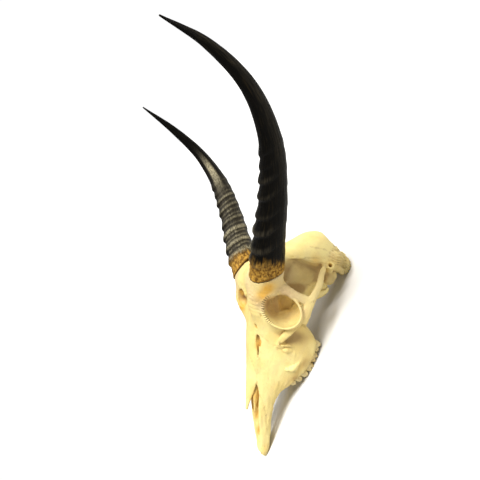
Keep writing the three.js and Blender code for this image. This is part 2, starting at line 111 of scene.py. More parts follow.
def centripetal(points: Array, steps: int, closed: bool = False) -> Array:
    """Smooth curve through points: cubic pieces whose knots lie the square root of the gap apart.

    Args:
        points: rows of points, (..., n, d).
        steps: how many points each piece gives.
        closed: whether the last point leads back to the first.

    Returns:
        Points along the curve, (..., m, d).
    """
    if closed:
        before, here = np.roll(points, 1, -2), points
        after, later = np.roll(points, -1, -2), np.roll(points, -2, -2)
    else:
        first = 2 * points[..., :1, :] - points[..., 1:2, :]
        last = 2 * points[..., -1:, :] - points[..., -2:-1, :]
        whole = np.concatenate([first, points, last], -2)
        before, here = whole[..., :-3, :], whole[..., 1:-2, :]
        after, later = whole[..., 2:-1, :], whole[..., 3:, :]
    gaps = [np.sqrt(np.linalg.norm(b - a, axis=-1, keepdims=True)).clip(1e-3)
            for a, b in ((before, here), (here, after), (after, later))]
    leave = ((here - before) / gaps[0] - (after - before) / (gaps[0] + gaps[1])
             + (after - here) / gaps[1]) * gaps[1]
    reach = ((after - here) / gaps[1] - (later - here) / (gaps[1] + gaps[2])
             + (later - after) / gaps[2]) * gaps[1]
    t = (np.arange(steps) / steps)[:, None]
    here, after, leave, reach = (a[..., None, :] for a in (here, after, leave, reach))
    curve = ((2 * t**3 - 3 * t**2 + 1) * here + (t**3 - 2 * t**2 + t) * leave
             + (3 * t**2 - 2 * t**3) * after + (t**3 - t**2) * reach)
    curve = curve.reshape(*points.shape[:-2], -1, points.shape[-1])
    return curve if closed else np.concatenate([curve, points[..., -1:, :]], -2)


def monotone(at: Array, places: Array, values: Array) -> Array:
    """Cubic interpolation that never overshoots: slopes are the harmonic mean of the steps beside.

    Args:
        at: where to read.
        places: where the values are known, rising.
        values: one row of columns per place.

    Returns:
        One row of columns per wanted place.
    """
    gap = np.diff(places)[:, None]
    rise = np.diff(values, axis=0) / gap
    both = rise[:-1] * rise[1:]
    safe = np.where(both > 0, rise[:-1] + rise[1:], 1.0)
    inner = np.where(both > 0, 2 * both / safe, 0.0)
    slope = np.concatenate([rise[:1], inner, rise[-1:]])
    i = np.clip(np.searchsorted(places, at) - 1, 0, len(places) - 2)
    t = np.clip((at - places[i]) / gap[i, 0], 0, 1)[:, None]
    return ((2 * t**3 - 3 * t**2 + 1) * values[i] + (t**3 - 2 * t**2 + t) * gap[i] * slope[i]
            + (3 * t**2 - 2 * t**3) * values[i + 1] + (t**3 - t**2) * gap[i] * slope[i + 1])


def noise(points: Array, size: float, seed: int) -> Array:
    """Soft random field from -1 to 1: values at lattice corners, eased between them.

    Args:
        points: places, (..., 3).
        size: lattice spacing, in the units of the points.
        seed: which field.

    Returns:
        One value per point, (...).
    """
    table = np.random.default_rng(seed).uniform(-1, 1, NOISE_TABLE).astype(np.float32)
    place = points.reshape(-1, 3) / size
    corner = np.floor(place).astype(np.int64)
    part = place - corner
    ease = part * part * (3 - 2 * part)
    total = np.zeros(len(place))
    for step in product((0, 1), repeat=3):
        key = (corner + step) @ np.array(NOISE_PRIMES)
        share = np.where(np.array(step) == 1, ease, 1 - ease).prod(1)
        total += share * table[key % NOISE_TABLE]
    return total.reshape(points.shape[:-1])


def ridged(points: Array, size: float, seed: int) -> Array:
    """Thin lines from 0 to 1 where a soft random field changes sign."""
    return 1 - np.minimum(1, np.abs(noise(points, size, seed)) * 3.2)


def smoothstep(low: float, high: float, value: Array) -> Array:
    """Eased step from 0 at low to 1 at high."""
    t = np.clip((value - low) / (high - low), 0, 1)
    return t * t * (3 - 2 * t)


def bell(off: Array, half: float) -> Array:
    """Bell, 1 at no distance and near 0 past its half width: e to minus their ratio squared."""
    return np.exp(-((off / half) ** 2))


def soft_min(a: Array, b: Array, blend: float) -> Array:
    """Smaller of two distances, rounded over within the blend by a cubic."""
    near = np.maximum(blend - np.abs(a - b), 0) / blend
    return np.minimum(a, b) - near**3 * (blend / 6)


# Shapes as distances


class Shape(Protocol):
    """A solid that knows its box and the distance of any place to its surface.

    Every distance method below takes and gives what this one does.
    """

    def box(self) -> Pair:
        """Lowest and highest corner."""

    def distance(self, x: Array, y: Array, z: Array) -> Array:
        """Distance to the surface.

        Args:
            x: places along X, with y and z shaped so that the three spread over a grid.
            y: places along Y.
            z: places along Z.

        Returns:
            One distance per place of the grid, negative inside.
        """


def oval_distance(parts: list[Array], halves: list[Array]) -> Array:
    """Near distance to an oval: its level k times (k - 1) over the level's steepness.

    Args:
        parts: places along each of the oval's own axes.
        halves: its half size along each.

    Returns:
        One distance per place, negative inside.
    """
    level = np.sqrt(sum((p / h) ** 2 for p, h in zip(parts, halves)))
    steep = np.sqrt(sum((p / (h * h)) ** 2 for p, h in zip(parts, halves)))
    return level * (level - 1) / np.maximum(steep, 1e-6)


@dataclass(frozen=True)
class Lump:
    """An ellipsoid, tilted about X and then turned about Z, in degrees."""

    centre: Point
    half: Point
    tilt: float = 0.0
    turn: float = 0.0

    def box(self) -> Pair:
        """Lowest and highest corner."""
        reach = max(self.half)
        return np.array(self.centre) - reach, np.array(self.centre) + reach

    def distance(self, x: Array, y: Array, z: Array) -> Array:
        """Distance to the ellipsoid, worked out along its own axes."""
        a, b = np.radians(self.turn), np.radians(self.tilt)
        u, v, w = x - self.centre[0], y - self.centre[1], z - self.centre[2]
        u, v = u * np.cos(a) + v * np.sin(a), v * np.cos(a) - u * np.sin(a)
        v, w = v * np.cos(b) + w * np.sin(b), w * np.cos(b) - v * np.sin(b)
        return oval_distance([u, v, w], list(self.half))


@dataclass(frozen=True)
class Block:
    """A block with rounded edges."""

    centre: Point
    half: Point
    round: float = 1.0

    def box(self) -> Pair:
        """Lowest and highest corner."""
        return np.array(self.centre) - self.half, np.array(self.centre) + self.half

    def distance(self, x: Array, y: Array, z: Array) -> Array:
        """Distance past each pair of faces, joined round the edges."""
        parts = [np.abs(p - c) - h + self.round for p, c, h in zip((x, y, z), self.centre, self.half)]
        outside = np.sqrt(sum(np.maximum(p, 0) ** 2 for p in parts))
        inside = np.minimum(np.maximum(np.maximum(parts[0], parts[1]), parts[2]), 0)
        return outside + inside - self.round


@dataclass(frozen=True)
class Stem:
    """An oval tube along a smooth path: rows of x, y, z, half width aside and half width upwards."""

    rows: Rows
    hint: Point = (0.0, 0.0, 1.0)
    steps: int = 4
    cap: float = 2.5

    def line(self) -> Array:
        """The rows, smoothed along the path."""
        return centripetal(np.array(self.rows, float), self.steps)

    def box(self) -> Pair:
        """Lowest and highest corner."""
        line = self.line()
        reach = line[:, 3:].max()
        return line[:, :3].min(0) - reach, line[:, :3].max(0) + reach

    def distance(self, x: Array, y: Array, z: Array) -> Array:
        """Least distance to the oval pieces between each two points of the path."""
        line = self.line()
        best = np.full(np.broadcast_shapes(x.shape, y.shape, z.shape), 1e3, np.float32)
        for start, end in zip(line[:-1], line[1:]):
            run = (end - start)[:3]
            length = np.linalg.norm(run)
            ahead = run / length
            up = np.array(self.hint) - ahead * np.dot(self.hint, ahead)
            up /= np.linalg.norm(up)
            aside = np.cross(up, ahead)
            u, v, w = x - start[0], y - start[1], z - start[2]
            along = u * ahead[0] + v * ahead[1] + w * ahead[2]
            t = np.clip(along / length, 0, 1)
            parts = [u * aside[0] + v * aside[1] + w * aside[2],
                     u * up[0] + v * up[1] + w * up[2],
                     along - t * length]
            halves = [start[3] + (end[3] - start[3]) * t, start[4] + (end[4] - start[4]) * t, self.cap]
            best = np.minimum(best, oval_distance(parts, halves))
        return best


@dataclass(frozen=True)
class Orbit:
    """The eye socket: its centre, the way it faces, its radii, and its lean and share by depth."""

    centre: Point = (48.2, 15.2, 73.3)
    outward: Point = (0.924, -0.174, 0.339)
    tall: float = 22.4
    wide: float = 17.8
    lean: Point = (-0.05, 0.34, -0.12)
    depths: Rows = ((-14, 1.06), (0, 1.0), (9, 1.05), (18, 0.92), (25, 0.5))

    def frame(self) -> tuple[Array, Array, Array]:
        """Unit directions outwards, upwards and backwards, square to each other."""
        out = np.array(self.outward) / np.linalg.norm(self.outward)
        up = np.array([0, 0, 1]) - out * out[2]
        up /= np.linalg.norm(up)
        return out, up, np.cross(up, out)

    def socket(self) -> Stem:
        """The hollow: a tube that leans back and narrows with depth."""
        out = self.frame()[0]
        rows = []
        for depth, share in self.depths:
            place = np.array(self.centre) - out * depth + np.array(self.lean) * max(depth, 0)
            rows.append((*place, self.wide * share, self.tall * share))
        return Stem(tuple(rows), cap=4.0)

    def polar(self, x: Array, y: Array, z: Array) -> tuple[Array, Array, Array, Array]:
        """Places in the socket's own frame.

        Args:
            x: places along X, with y and z shaped so that the three go together.
            y: places along Y.
            z: places along Z.

        Returns:
            Places outwards, upwards and backwards, and the angle from up through the back.
        """
        u, v, w = x - self.centre[0], y - self.centre[1], z - self.centre[2]
        rise, high, rear = (u * way[0] + v * way[1] + w * way[2] for way in self.frame())
        return rise, high, rear, np.arctan2(rear, high)


def lobe(angle: Array, middle: float, half: float) -> Array:
    """Bell over an angle, 1 at its middle and near 0 past its half width."""
    return bell(np.mod(angle - middle + np.pi, 2 * np.pi) - np.pi, half)


@dataclass(frozen=True)
class Rim:
    """The edge of the eye socket: a proud crescent in front and below, a low notched brow above.

    crescent and brow are angles around the socket. width and height are half sizes of the section:
    the plain one, what is added at the crescent and, for the width, what is added at the brow.
    """

    orbit: Orbit
    crescent: float = -2.25
    brow: float = -0.35
    width: Point = (1.7, 0.5, 1.3)
    height: tuple[float, float] = (2.2, 2.8)
    stand_off: float = 1.5
    notches: int = 52
    notch: float = 0.8

    def box(self) -> Pair:
        """Lowest and highest corner."""
        reach = self.orbit.tall + 12
        return np.array(self.orbit.centre) - reach, np.array(self.orbit.centre) + reach

    def distance(self, x: Array, y: Array, z: Array) -> Array:
        """Distance to an oval ring whose section changes with the angle around it."""
        rise, high, rear, around = self.orbit.polar(x, y, z)
        front = lobe(around, self.crescent, 1.25)
        brow = lobe(around, self.brow, 0.85)
        width = self.width[0] + self.width[1] * front + self.width[2] * brow
        height = self.height[0] + self.height[1] * front
        out = self.stand_off + 0.5 * brow + brow * self.notch * np.sin(self.notches * around)
        aside = oval_distance([high, rear], [self.orbit.tall + out, self.orbit.wide + out])
        level = rise + 0.6 - 1.5 * front + 0.5 * brow
        return oval_distance([aside, level], [width, height])


@dataclass(frozen=True)
class HornSeat:
    """The room that a horn takes up: everything past its rim and within its own thickness.

    gap is the room around the horn and under the room below its rim. The horn's direction is taken
    at start, its second radius lies at taper, and the box reaches a margin round it as far as end.
    """

    gap: float = 0.2
    under: float = 0.1
    start: float = 12.0
    taper: float = 56.0
    end: float = 60.0
    margin: float = 24.0

    def box(self) -> Pair:
        """Lowest and highest corner."""
        centre = HORNS.axis(np.array([0.0, self.end]))[0]
        return centre.min(0) - self.margin, centre.max(0) + self.margin

    def distance(self, x: Array, y: Array, z: Array) -> Array:
        """The larger of the distance from the horn's side and the distance below its rim.

        Over this short length the horn is taken as straight, along its direction at its start.
        """
        centre, front, side, way = (a[0] for a in HORNS.axis(np.array([self.start])))
        u, v, w = x - centre[0], y - centre[1], z - centre[2]
        along, ahead, aside = (u * d[0] + v * d[1] + w * d[2] for d in (way, front, side))
        radial = np.sqrt(ahead**2 + aside**2)
        to_front, to_side = ahead / np.maximum(radial, 1e-6), aside / np.maximum(radial, 1e-6)
        at = along + self.start
        thick = HORNS.radii[0] - (HORNS.radii[0] - HORNS.radii[1]) * np.clip(at / self.taper, 0, 1)
        below = HORNS.rim(to_front, to_side) - self.under - at
        return np.maximum(radial - thick - self.gap, below)


@dataclass
class BoneField:
    """Distances to the bone on one half of a grid; the other half is its mirror image.

    low and high are the grid's corners and cell its spacing. X starts on the midline.
    """

    low: Point = (0.0, -160.0, -3.0)
    high: Point = (70.0, 138.0, 134.0)
    cell: float = 1.0
    values: Array = field(init=False)

    def axes(self) -> list[Array]:
        """Places of the grid along X, Y and Z."""
        return [np.arange(a, b, self.cell, dtype=np.float32) for a, b in zip(self.low, self.high)]

    def body(self, sections: Array) -> None:
        """Fills the grid from half outlines at places along Y.

        In each slice the distance is that to the nearest edge of the smooth outline, its sign from
        how many edges lie sideways, and its size is eased by how fast it changes along Y.

        Args:
            sections: rows of y, then x and z of every corner from the top down to the bottom.
        """
        x, y, z = self.axes()
        rows = monotone(y, sections[:, 0], sections[:, 1:])
        half = rows.reshape(len(y), -1, 2)
        other = half[:, -2:0:-1] * (-1, 1)
        ring = centripetal(np.concatenate([half, other], 1), 4, closed=True)
        outline = ring[:, : (half.shape[1] - 1) * 4 + 1].astype(np.float32)
        beyond = np.maximum(sections[0, 0] - y, 0) + np.maximum(y - sections[-1, 0], 0)
        self.values = np.stack([self.slice(o, x, z) for o in outline], 1)
        past = beyond[None, :, None]
        self.values = np.where(past > 0, np.hypot(np.maximum(self.values, 0), past), self.values)
        slope = np.gradient(self.values, self.cell, axis=1)
        self.values /= np.sqrt(1 + slope * slope)

    @staticmethod
    def slice(outline: Array, x: Array, z: Array) -> Array:
        """Distance in one slice to an outline that runs from the midline's top to its bottom.

        Args:
            outline: rows of x and z.
            x: the grid's places along X.
            z: the grid's places along Z.

        Returns:
            One distance per place, (x, z), negative inside.
        """
        a, d = outline[:-1], np.diff(outline, axis=0)
        u, w = x[:, None, None] - a[:, 0], z[None, :, None] - a[:, 1]
        t = np.clip((u * d[:, 0] + w * d[:, 1]) / np.maximum((d * d).sum(1), 1e-9), 0, 1)
        near = np.sqrt(((u - t * d[:, 0]) ** 2 + (w - t * d[:, 1]) ** 2).min(-1))
        level = (w < 0) != (w < d[:, 1])
        run = d[:, 0] / np.where(np.abs(d[:, 1]) < 1e-6, 1e-6, d[:, 1])
        odd = (level & (u < w * run)).sum(-1) % 2 == 1
        return np.where(odd, -near, near).astype(np.float32)

    def merge(self, shape: Shape, blend: float, cut: bool = False) -> None:
        """Joins a shape to the bone, or cuts it out, rounding the edge between them.

        Args:
            shape: the solid.
            blend: how wide the rounding is.
            cut: whether the shape is taken away.
        """
        low, high = shape.box()
        margin = blend + 2 * self.cell
        window, places = [], []
        for axis, a, b in zip(self.axes(), low - margin, high + margin):
            start, stop = np.searchsorted(axis, a), np.searchsorted(axis, b)
            window.append(slice(start, stop))
            places.append(axis[start:stop])
        if min(len(p) for p in places) == 0:
            return
        x, y, z = np.ix_(*places)
        here = self.values[tuple(window)]
        gap = shape.distance(x, y, z)
        merged = -soft_min(-here, gap, blend) if cut else soft_min(here, gap, blend)
        self.values[tuple(window)] = merged

    def whole(self) -> "Volume":
        """Both halves as one grid."""
        values = np.concatenate([self.values[:0:-1], self.values], 0)
        low = np.array([-self.cell * (len(self.values) - 1), *self.low[1:]])
        return Volume(values, low, self.cell)


@dataclass
class Volume:
    """Distances on a whole grid, with its lowest corner and spacing."""

    values: Array
    low: Array
    cell: float

    def read(self, points: Array, values: Array | None = None) -> Array:
        """Value at each point: the eight corners around it, weighted by nearness.

        Args:
            points: rows of places in skull millimetres.
            values: another field on the same grid, read instead of the distances.

        Returns:
            One value per point.
        """
        values = self.values if values is None else values
        place = (points - self.low) / self.cell
        top = np.array(values.shape) - 2
        corner = np.clip(np.floor(place).astype(int), 0, top)
        part = np.clip(place - corner, 0, 1)
        total = np.zeros(len(points))
        for step in product((0, 1), repeat=3):
            share = np.where(np.array(step) == 1, part, 1 - part).prod(1)
            i, j, k = (corner + step).T
            total += share * values[i, j, k]
        return total

    def settle(self, points: Array) -> Array:
        """Moves points onto the surface: one step along the steepest way, by the distance there.

        Args:
            points: rows of places near the surface.

        Returns:
            The places after the step.
        """
        reach = self.cell * 0.5
        slope = np.stack([(self.read(points + e) - self.read(points - e)) / (2 * reach)
                          for e in np.eye(3) * reach], 1)
        steep = np.maximum((slope**2).sum(1, keepdims=True), 0.1)
        step = self.read(points)[:, None] * slope / steep
        return points - np.clip(step, -self.cell, self.cell)

    def skin(self) -> Pair:
        """The surface as four-sided faces, one vertex in each cell that the surface crosses.

        A vertex is the mean of the places where the surface crosses its cell's twelve edges, and
        each crossed edge gives the face through the four cells around it. The vertices are then
        evened out by the mean of their neighbours and settled on the surface.

        Returns:
            Vertices, (n, 3), and faces, (m, 4), seen from outside in turn to the left.
        """
        inside = self.values < 0
        size = np.array(inside.shape)
        count = sum(inside[i:size[0] - 1 + i, j:size[1] - 1 + j, k:size[2] - 1 + k].astype(np.int8)
                    for i, j, k in product((0, 1), repeat=3))
        crossed = (count > 0) & (count < 8)
        cells = np.argwhere(crossed)
        index = np.full(crossed.shape, -1)
        index[crossed] = np.arange(len(cells))
        total, hits = np.zeros((len(cells), 3)), np.zeros(len(cells))
        for axis in range(3):
            unit = np.eye(3, dtype=int)[axis]
            for start in product((0, 1), repeat=3):
                if start[axis] == 1:
                    continue
                a = self.values[tuple((cells + start).T)]
                b = self.values[tuple((cells + start + unit).T)]
                hit = (a < 0) != (b < 0)
                t = np.where(hit, a / np.where(hit, a - b, 1), 0)
                total += hit[:, None] * (np.array(start) + t[:, None] * unit)
                hits += hit
        points = self.low + (cells + total / hits[:, None]) * self.cell
        faces = np.concatenate([self.faces(inside, index, axis) for axis in range(3)])
        edges = np.concatenate([faces[:, [i, (i + 1) % 4]] for i in range(4)])
        degree = np.bincount(edges.ravel(), minlength=len(points))[:, None]
        for _ in range(3):
            mean = np.stack([np.bincount(edges[:, 0], points[edges[:, 1], k], len(points))
                             + np.bincount(edges[:, 1], points[edges[:, 0], k], len(points))
                             for k in range(3)], 1) / degree
            points = self.settle(points + (mean - points) * 0.6)
        return points, faces

    @staticmethod
    def faces(inside: Array, index: Array, axis: int) -> Array:
        """Faces across the crossed grid edges that run along one axis.

        Args:
            inside: whether each grid place is in the bone.
            index: the vertex number of each crossed cell.
            axis: 0, 1 or 2.

        Returns:
            Vertex numbers, four to a face.
        """
        b, c = (axis + 1) % 3, (axis + 2) % 3
        ahead = np.roll(inside, -1, axis)
        keep = inside != ahead
        for k, trim in ((axis, (0, 1)), (b, (1, 1)), (c, (1, 1))):
            edge = [slice(None)] * 3
            edge[k] = slice(-trim[1], None)
            keep[tuple(edge)] = False
            if trim[0]:
                edge[k] = slice(0, 1)
                keep[tuple(edge)] = False
        at = np.argwhere(keep)
        to_b, to_c = np.eye(3, dtype=int)[b], np.eye(3, dtype=int)[c]
        ring = [index[tuple((at - db * to_b - dc * to_c).T)]
                for db, dc in ((1, 1), (0, 1), (0, 0), (1, 0))]
        quads = np.stack(ring, 1)
        outward = inside[tuple(at.T)]
        return np.where(outward[:, None], quads, quads[:, ::-1])


# Meshes


def placed_in_box(points: Array) -> Array:
    """Skull millimetres in metres at their place, held just inside the solids' box."""
    low, high = (np.array(corner) for corner in CAD_BOX)
    return np.clip(points * MM + SHIFT, low + BOX_INSET, high - BOX_INSET)


def in_scene(name: str, data: bpy.types.ID | None) -> Thing:
    """A new object in the scene with the given mesh, light or camera.

    Args:
        name: the object's name.
        data: what it shows.

    Returns:
        The object, at the origin.
    """
    thing = bpy.data.objects.new(name, data)
    bpy.context.scene.collection.objects.link(thing)
    return thing


def smooth(mesh: Mesh) -> None:
    """Shades every face smooth."""
    mesh.polygons.foreach_set("use_smooth", np.ones(len(mesh.polygons), bool))


def mesh_of(name: str, points: Array, faces: list[list[int]]) -> Mesh:
    """A smooth mesh in metres from vertices in skull millimetres, moved to its place.

    Args:
        name: the mesh's name.
        points: vertices in the skull's own frame.
        faces: faces with three or four corners each.

    Returns:
        The mesh, shaded smooth.
    """
    mesh = bpy.data.meshes.new(name)
    mesh.from_pydata(placed_in_box(points).tolist(), [], faces)
    mesh.update()
    smooth(mesh)
    return mesh


def places_of(mesh: Mesh) -> Pair:
    """Vertices in skull millimetres, and their normals.

    Args:
        mesh: a mesh in metres at its place.

    Returns:
        Rows of places and rows of unit normals.
    """
    points, normals = np.empty(len(mesh.vertices) * 3), np.empty(len(mesh.vertices) * 3)
    mesh.vertices.foreach_get("co", points)
    mesh.vertex_normals.foreach_get("vector", normals)
    return (points.reshape(-1, 3) - SHIFT) / MM, normals.reshape(-1, 3)


def place(mesh: Mesh, points: Array) -> None:
    """Puts the vertices, given in skull millimetres, where they belong."""
    mesh.vertices.foreach_set("co", placed_in_box(points).ravel())
    mesh.update()


def mark(mesh: Mesh, name: str, values: Array) -> None:
    """Stores one number or one vector per vertex under a name that materials read.

    Args:
        mesh: the mesh.
        name: the mark's name.
        values: (n,) numbers or (n, 3) vectors.
    """
    kind, key = ("FLOAT", "value") if values.ndim == 1 else ("FLOAT_VECTOR", "vector")
    attribute = mesh.attributes.new(name, kind, "POINT")
    attribute.data.foreach_set(key, values.astype(np.float32).ravel())


def sheet(name: str, rows: Array, first: Array, last: Array) -> Mesh:
    """A closed mesh from rings of points and a pole at each end.

    Four-sided faces join each ring to the next, and triangles join the end rings to the poles.

    Args:
        name: the mesh's name.
        rows: the rings, (rings, columns, 3).
        first: the pole before them.
        last: the pole after them.

    Returns:
        The mesh.
    """
    count, columns = rows.shape[:2]
    points = np.concatenate([first[None], rows.reshape(-1, 3), last[None]])
    i, j = np.meshgrid(np.arange(count - 1), np.arange(columns), indexing="ij")
    after = (j + 1) % columns
    quads = np.stack([i * columns + j, i * columns + after, (i + 1) * columns + after,
                      (i + 1) * columns + j], -1).reshape(-1, 4) + 1
    j, after = j[0], after[0]
    start = np.stack([np.zeros_like(j), after + 1, j + 1], 1)
    base = 1 + (count - 1) * columns
    end = np.stack([np.full_like(j, len(points) - 1), base + j, base + after], 1)
    return mesh_of(name, points, quads.tolist() + start.tolist() + end.tolist())


def show(mesh: Mesh, material: Material, node: str) -> None:
    """Puts a mesh in the scene in place of its solid, riding on the one body.

    Args:
        mesh: the piece's mesh.
        material: its finish.
        node: the solid that it replaces.
    """
    piece = in_scene(mesh.name, mesh)
    mesh.materials.append(material)
    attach(piece, "root")
    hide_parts(node)
    LOG.info("%s: %d faces", piece.name, len(mesh.polygons))


# The skull's place in the frame: its snout tip meets the solid's
SHIFT = np.array([0.0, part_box("cranium")[0][1] - SNOUT_TIP * MM, 0.0])


# Shader node groups and finishes


@dataclass
class Tree:
    """A short way to write shader nodes: most methods add one node and link what they are given."""

    tree: NodeTree

    def add(self, kind: str, inputs: dict | None = None, **settings: object) -> Node:
        """Adds a node.

        Args:
            kind: the node's type, without the leading ShaderNode.
            inputs: by socket name or number, either a value or another node's output.
            settings: the node's own properties.

        Returns:
            The node.
        """
        node = self.tree.nodes.new("ShaderNode" + kind)
        for key, value in settings.items():
            setattr(node, key, value)
        for key, value in (inputs or {}).items():
            if isinstance(value, Socket):
                self.tree.links.new(value, node.inputs[key])
            else:
                node.inputs[key].default_value = value
        return node

    def link(self, output: Socket, socket: Socket) -> None:
        """Links an output to a socket."""
        self.tree.links.new(output, socket)

    def placed(self, which: NodeTree, inputs: dict) -> Node:
        """A shared node group set in among these nodes with its own values."""
        return self.add("Group", inputs, node_tree=which)

    def math(self, operation: str, a: object, b: object = 0.0, clamp: bool = False) -> Socket:
        """An operation on one or two numbers, held between 0 and 1 if clamped."""
        return self.add("Math", {0: a, 1: b}, operation=operation, use_clamp=clamp).outputs[0]

    def times(self, a: object, b: object, clamp: bool = False) -> Socket:
        """Product of two numbers."""
        return self.math("MULTIPLY", a, b, clamp)

    def plus(self, a: object, b: object) -> Socket:
        """Sum of two numbers."""
        return self.math("ADD", a, b)

    def less(self, a: object, b: object) -> Socket:
        """The first number less the second."""
        return self.math("SUBTRACT", a, b)

    def over(self, a: object, b: object) -> Socket:
        """The first number over the second."""
        return self.math("DIVIDE", a, b)

    def ramp(self, value: object, low: float, high: float) -> Socket:
        """Eased step from 0 at low to 1 at high."""
        node = self.add("MapRange", {0: value, 1: low, 2: high}, interpolation_type="SMOOTHSTEP")
        return node.outputs[0]

    def mix(self, share: object, a: object, b: object) -> Socket:
        """Mix of two colours."""
        a, b = ((*c, 1.0) if isinstance(c, tuple) else c for c in (a, b))
        return self.add("Mix", {0: share, 6: a, 7: b}, data_type="RGBA").outputs[2]

    def vector(self, operation: str, a: object, b: object) -> Node:
        """An operation on two vectors."""
        return self.add("VectorMath", {0: a, 1: b}, operation=operation)

    def noise(self, where: object, scale: object, detail: float, **inputs: float) -> Socket:
        """Cloudy noise from 0 to 1."""
        inputs = {"Vector": where, "Scale": scale, "Detail": detail, **inputs}
        return self.add("TexNoise", inputs).outputs[0]

    def stored(self, name: str, vector: bool = False) -> Socket:
        """A number or vector that the mesh carries at each vertex."""
        node = self.add("Attribute", attribute_name=name)
        return node.outputs["Vector" if vector else "Fac"]


def group(name: str, inputs: dict[str, tuple[str, object]],
          outputs: dict[str, str]) -> tuple[Tree, Node, Node]:
    """Starts a node group.

    Args:
        name: the group's name.
        inputs: socket names with their kind and default.
        outputs: socket names with their kind.

    Returns:
        The tree, its input node and its output node.
    """
    tree = bpy.data.node_groups.new(name, "ShaderNodeTree")
    for label, (kind, value) in inputs.items():
        socket = tree.interface.new_socket(label, in_out="INPUT", socket_type="NodeSocket" + kind)
        if value is not None:
            socket.default_value = value
    for label, kind in outputs.items():
        tree.interface.new_socket(label, in_out="OUTPUT", socket_type="NodeSocket" + kind)
    return Tree(tree), tree.nodes.new("NodeGroupInput"), tree.nodes.new("NodeGroupOutput")


def grain_group() -> NodeTree:
    """Fine surface of a dry grown thing: cloudy tone, specks and a height of pores and waves.

    Returns:
        The group, whose Size stretches all of it and whose Seed moves it.
    """
    inputs = {"Where": ("Vector", None), "Size": ("Float", 1.0), "Seed": ("Float", 0.0)}
    outputs = {"Tone": "Float", "Specks": "Float", "Height": "Float"}
    tree, given, out = group("dry_grain", inputs, outputs)
    size = given.outputs["Size"]
    seed = tree.add("CombineXYZ", {0: given.outputs["Seed"]}).outputs[0]
    shift = tree.vector("ADD", given.outputs["Where"], seed).outputs[0]
    wide = tree.noise(shift, tree.over(34.0, size), 4.0)
    fine = tree.noise(shift, tree.over(260.0, size), 5.0, Roughness=0.62)
    dots = tree.noise(shift, tree.over(620.0, size), 2.0)
    pores = tree.add("TexVoronoi", {"Vector": shift, "Scale": tree.over(900.0, size)}).outputs[0]
    pit = tree.times(tree.ramp(pores, 0.34, 0.10), -0.5)
    height = tree.plus(tree.plus(tree.times(fine, 1.4), pit), tree.times(wide, 0.6))
    tree.link(wide, out.inputs["Tone"])
    tree.link(tree.ramp(dots, 0.60, 0.74), out.inputs["Specks"])
    tree.link(height, out.inputs["Height"])
    return tree.tree


def shade_and_cement_group() -> NodeTree:
    """A colour laid over another in hollows, broken up by noise: painted shade on the bone, tan cement
    between the teeth's ribs.

    Returns:
        The group, which turns Color towards Tint by Hollow and Amount.
    """
    inputs = {"Color": ("Color", (1, 1, 1, 1)), "Hollow": ("Float", 0.0),
              "Tint": ("Color", (0.3, 0.2, 0.1, 1)), "Amount": ("Float", 1.0), "Where": ("Vector", None)}
    tree, given, out = group("shade_and_cement_tint", inputs, {"Color": "Color"})
    color, hollow, tint, amount, where = (given.outputs[name] for name in inputs)
    cloud = tree.noise(where, 120.0, 4.0)
    uneven = tree.plus(hollow, tree.times(tree.less(cloud, 0.5), 0.45))
    held = tree.times(hollow, tree.plus(0.55, tree.ramp(uneven, 0.1, 0.9)))
    mask = tree.times(held, amount, clamp=True)
    tree.link(tree.mix(mask, color, tint), out.inputs["Color"])
    return tree.tree


def notch_group(orbit: Orbit, count: float = 52.0, middle: float = -0.5,
                half: float = 1.15) -> NodeTree:
    """Fine notches round the upper front edge of each eye socket.

    They are the upper halves of a sine of the angle around the socket, kept to a narrow band
    outside its edge and to a stretch of the angle.

    Args:
        orbit: the socket.
        count: notches to a full turn.
        middle: the angle where they are strongest.
        half: the half width of their stretch.

    Returns:
        The group, from a place to the share of a notch.
    """
    tree, given, out = group("edge_notches", {"Where": ("Vector", None)}, {"Notch": "Float"})
    parts = tree.add("SeparateXYZ", {0: given.outputs["Where"]})
    near = tree.math("ABSOLUTE", parts.outputs[0])
    where = tree.add("CombineXYZ", {0: near, 1: parts.outputs[1], 2: parts.outputs[2]}).outputs[0]
    centre = tuple(np.array(orbit.centre) * MM + SHIFT)
    off = tree.vector("SUBTRACT", where, centre).outputs[0]
    rise, high, rear = (tree.vector("DOT_PRODUCT", off, tuple(way)).outputs["Value"]
                        for way in orbit.frame())
    angle = tree.math("ARCTAN2", rear, high)
    tall = tree.over(high, orbit.tall * MM)
    wide = tree.over(rear, orbit.wide * MM)
    level = tree.math("SQRT", tree.plus(tree.times(tall, tall), tree.times(wide, wide)))
    crook = tree.times(tree.noise(given.outputs["Where"], 260.0, 2.0), 5.0)
    wave = tree.math("SINE", tree.plus(tree.times(angle, count), crook))
    band = tree.times(tree.ramp(level, 0.97, 1.02), tree.ramp(level, 1.19, 1.12))
    stretch = tree.ramp(tree.math("ABSOLUTE", tree.less(angle, middle)), half, half * 0.5)
    flush = tree.ramp(tree.math("ABSOLUTE", rise), 0.010, 0.007)
    share = tree.times(tree.times(band, stretch), flush)
    tree.link(tree.times(share, tree.ramp(wave, 0.0, 0.8)), out.inputs["Notch"])
    return tree.tree


GRAIN = grain_group()
SHADE_AND_CEMENT = shade_and_cement_group()
NOTCHES = notch_group(Orbit())


def start_material(name: str) -> tuple[Tree, Node, Socket]:
    """Starts a material.

    Args:
        name: the material's name.

    Returns:
        Its nodes, its shader and the object's own coordinates.
    """
    material = bpy.data.materials.new(name)
    material.use_nodes = True
    tree = Tree(material.node_tree)
    return tree, material.node_tree.nodes["Principled BSDF"], tree.add("TexCoord").outputs["Object"]


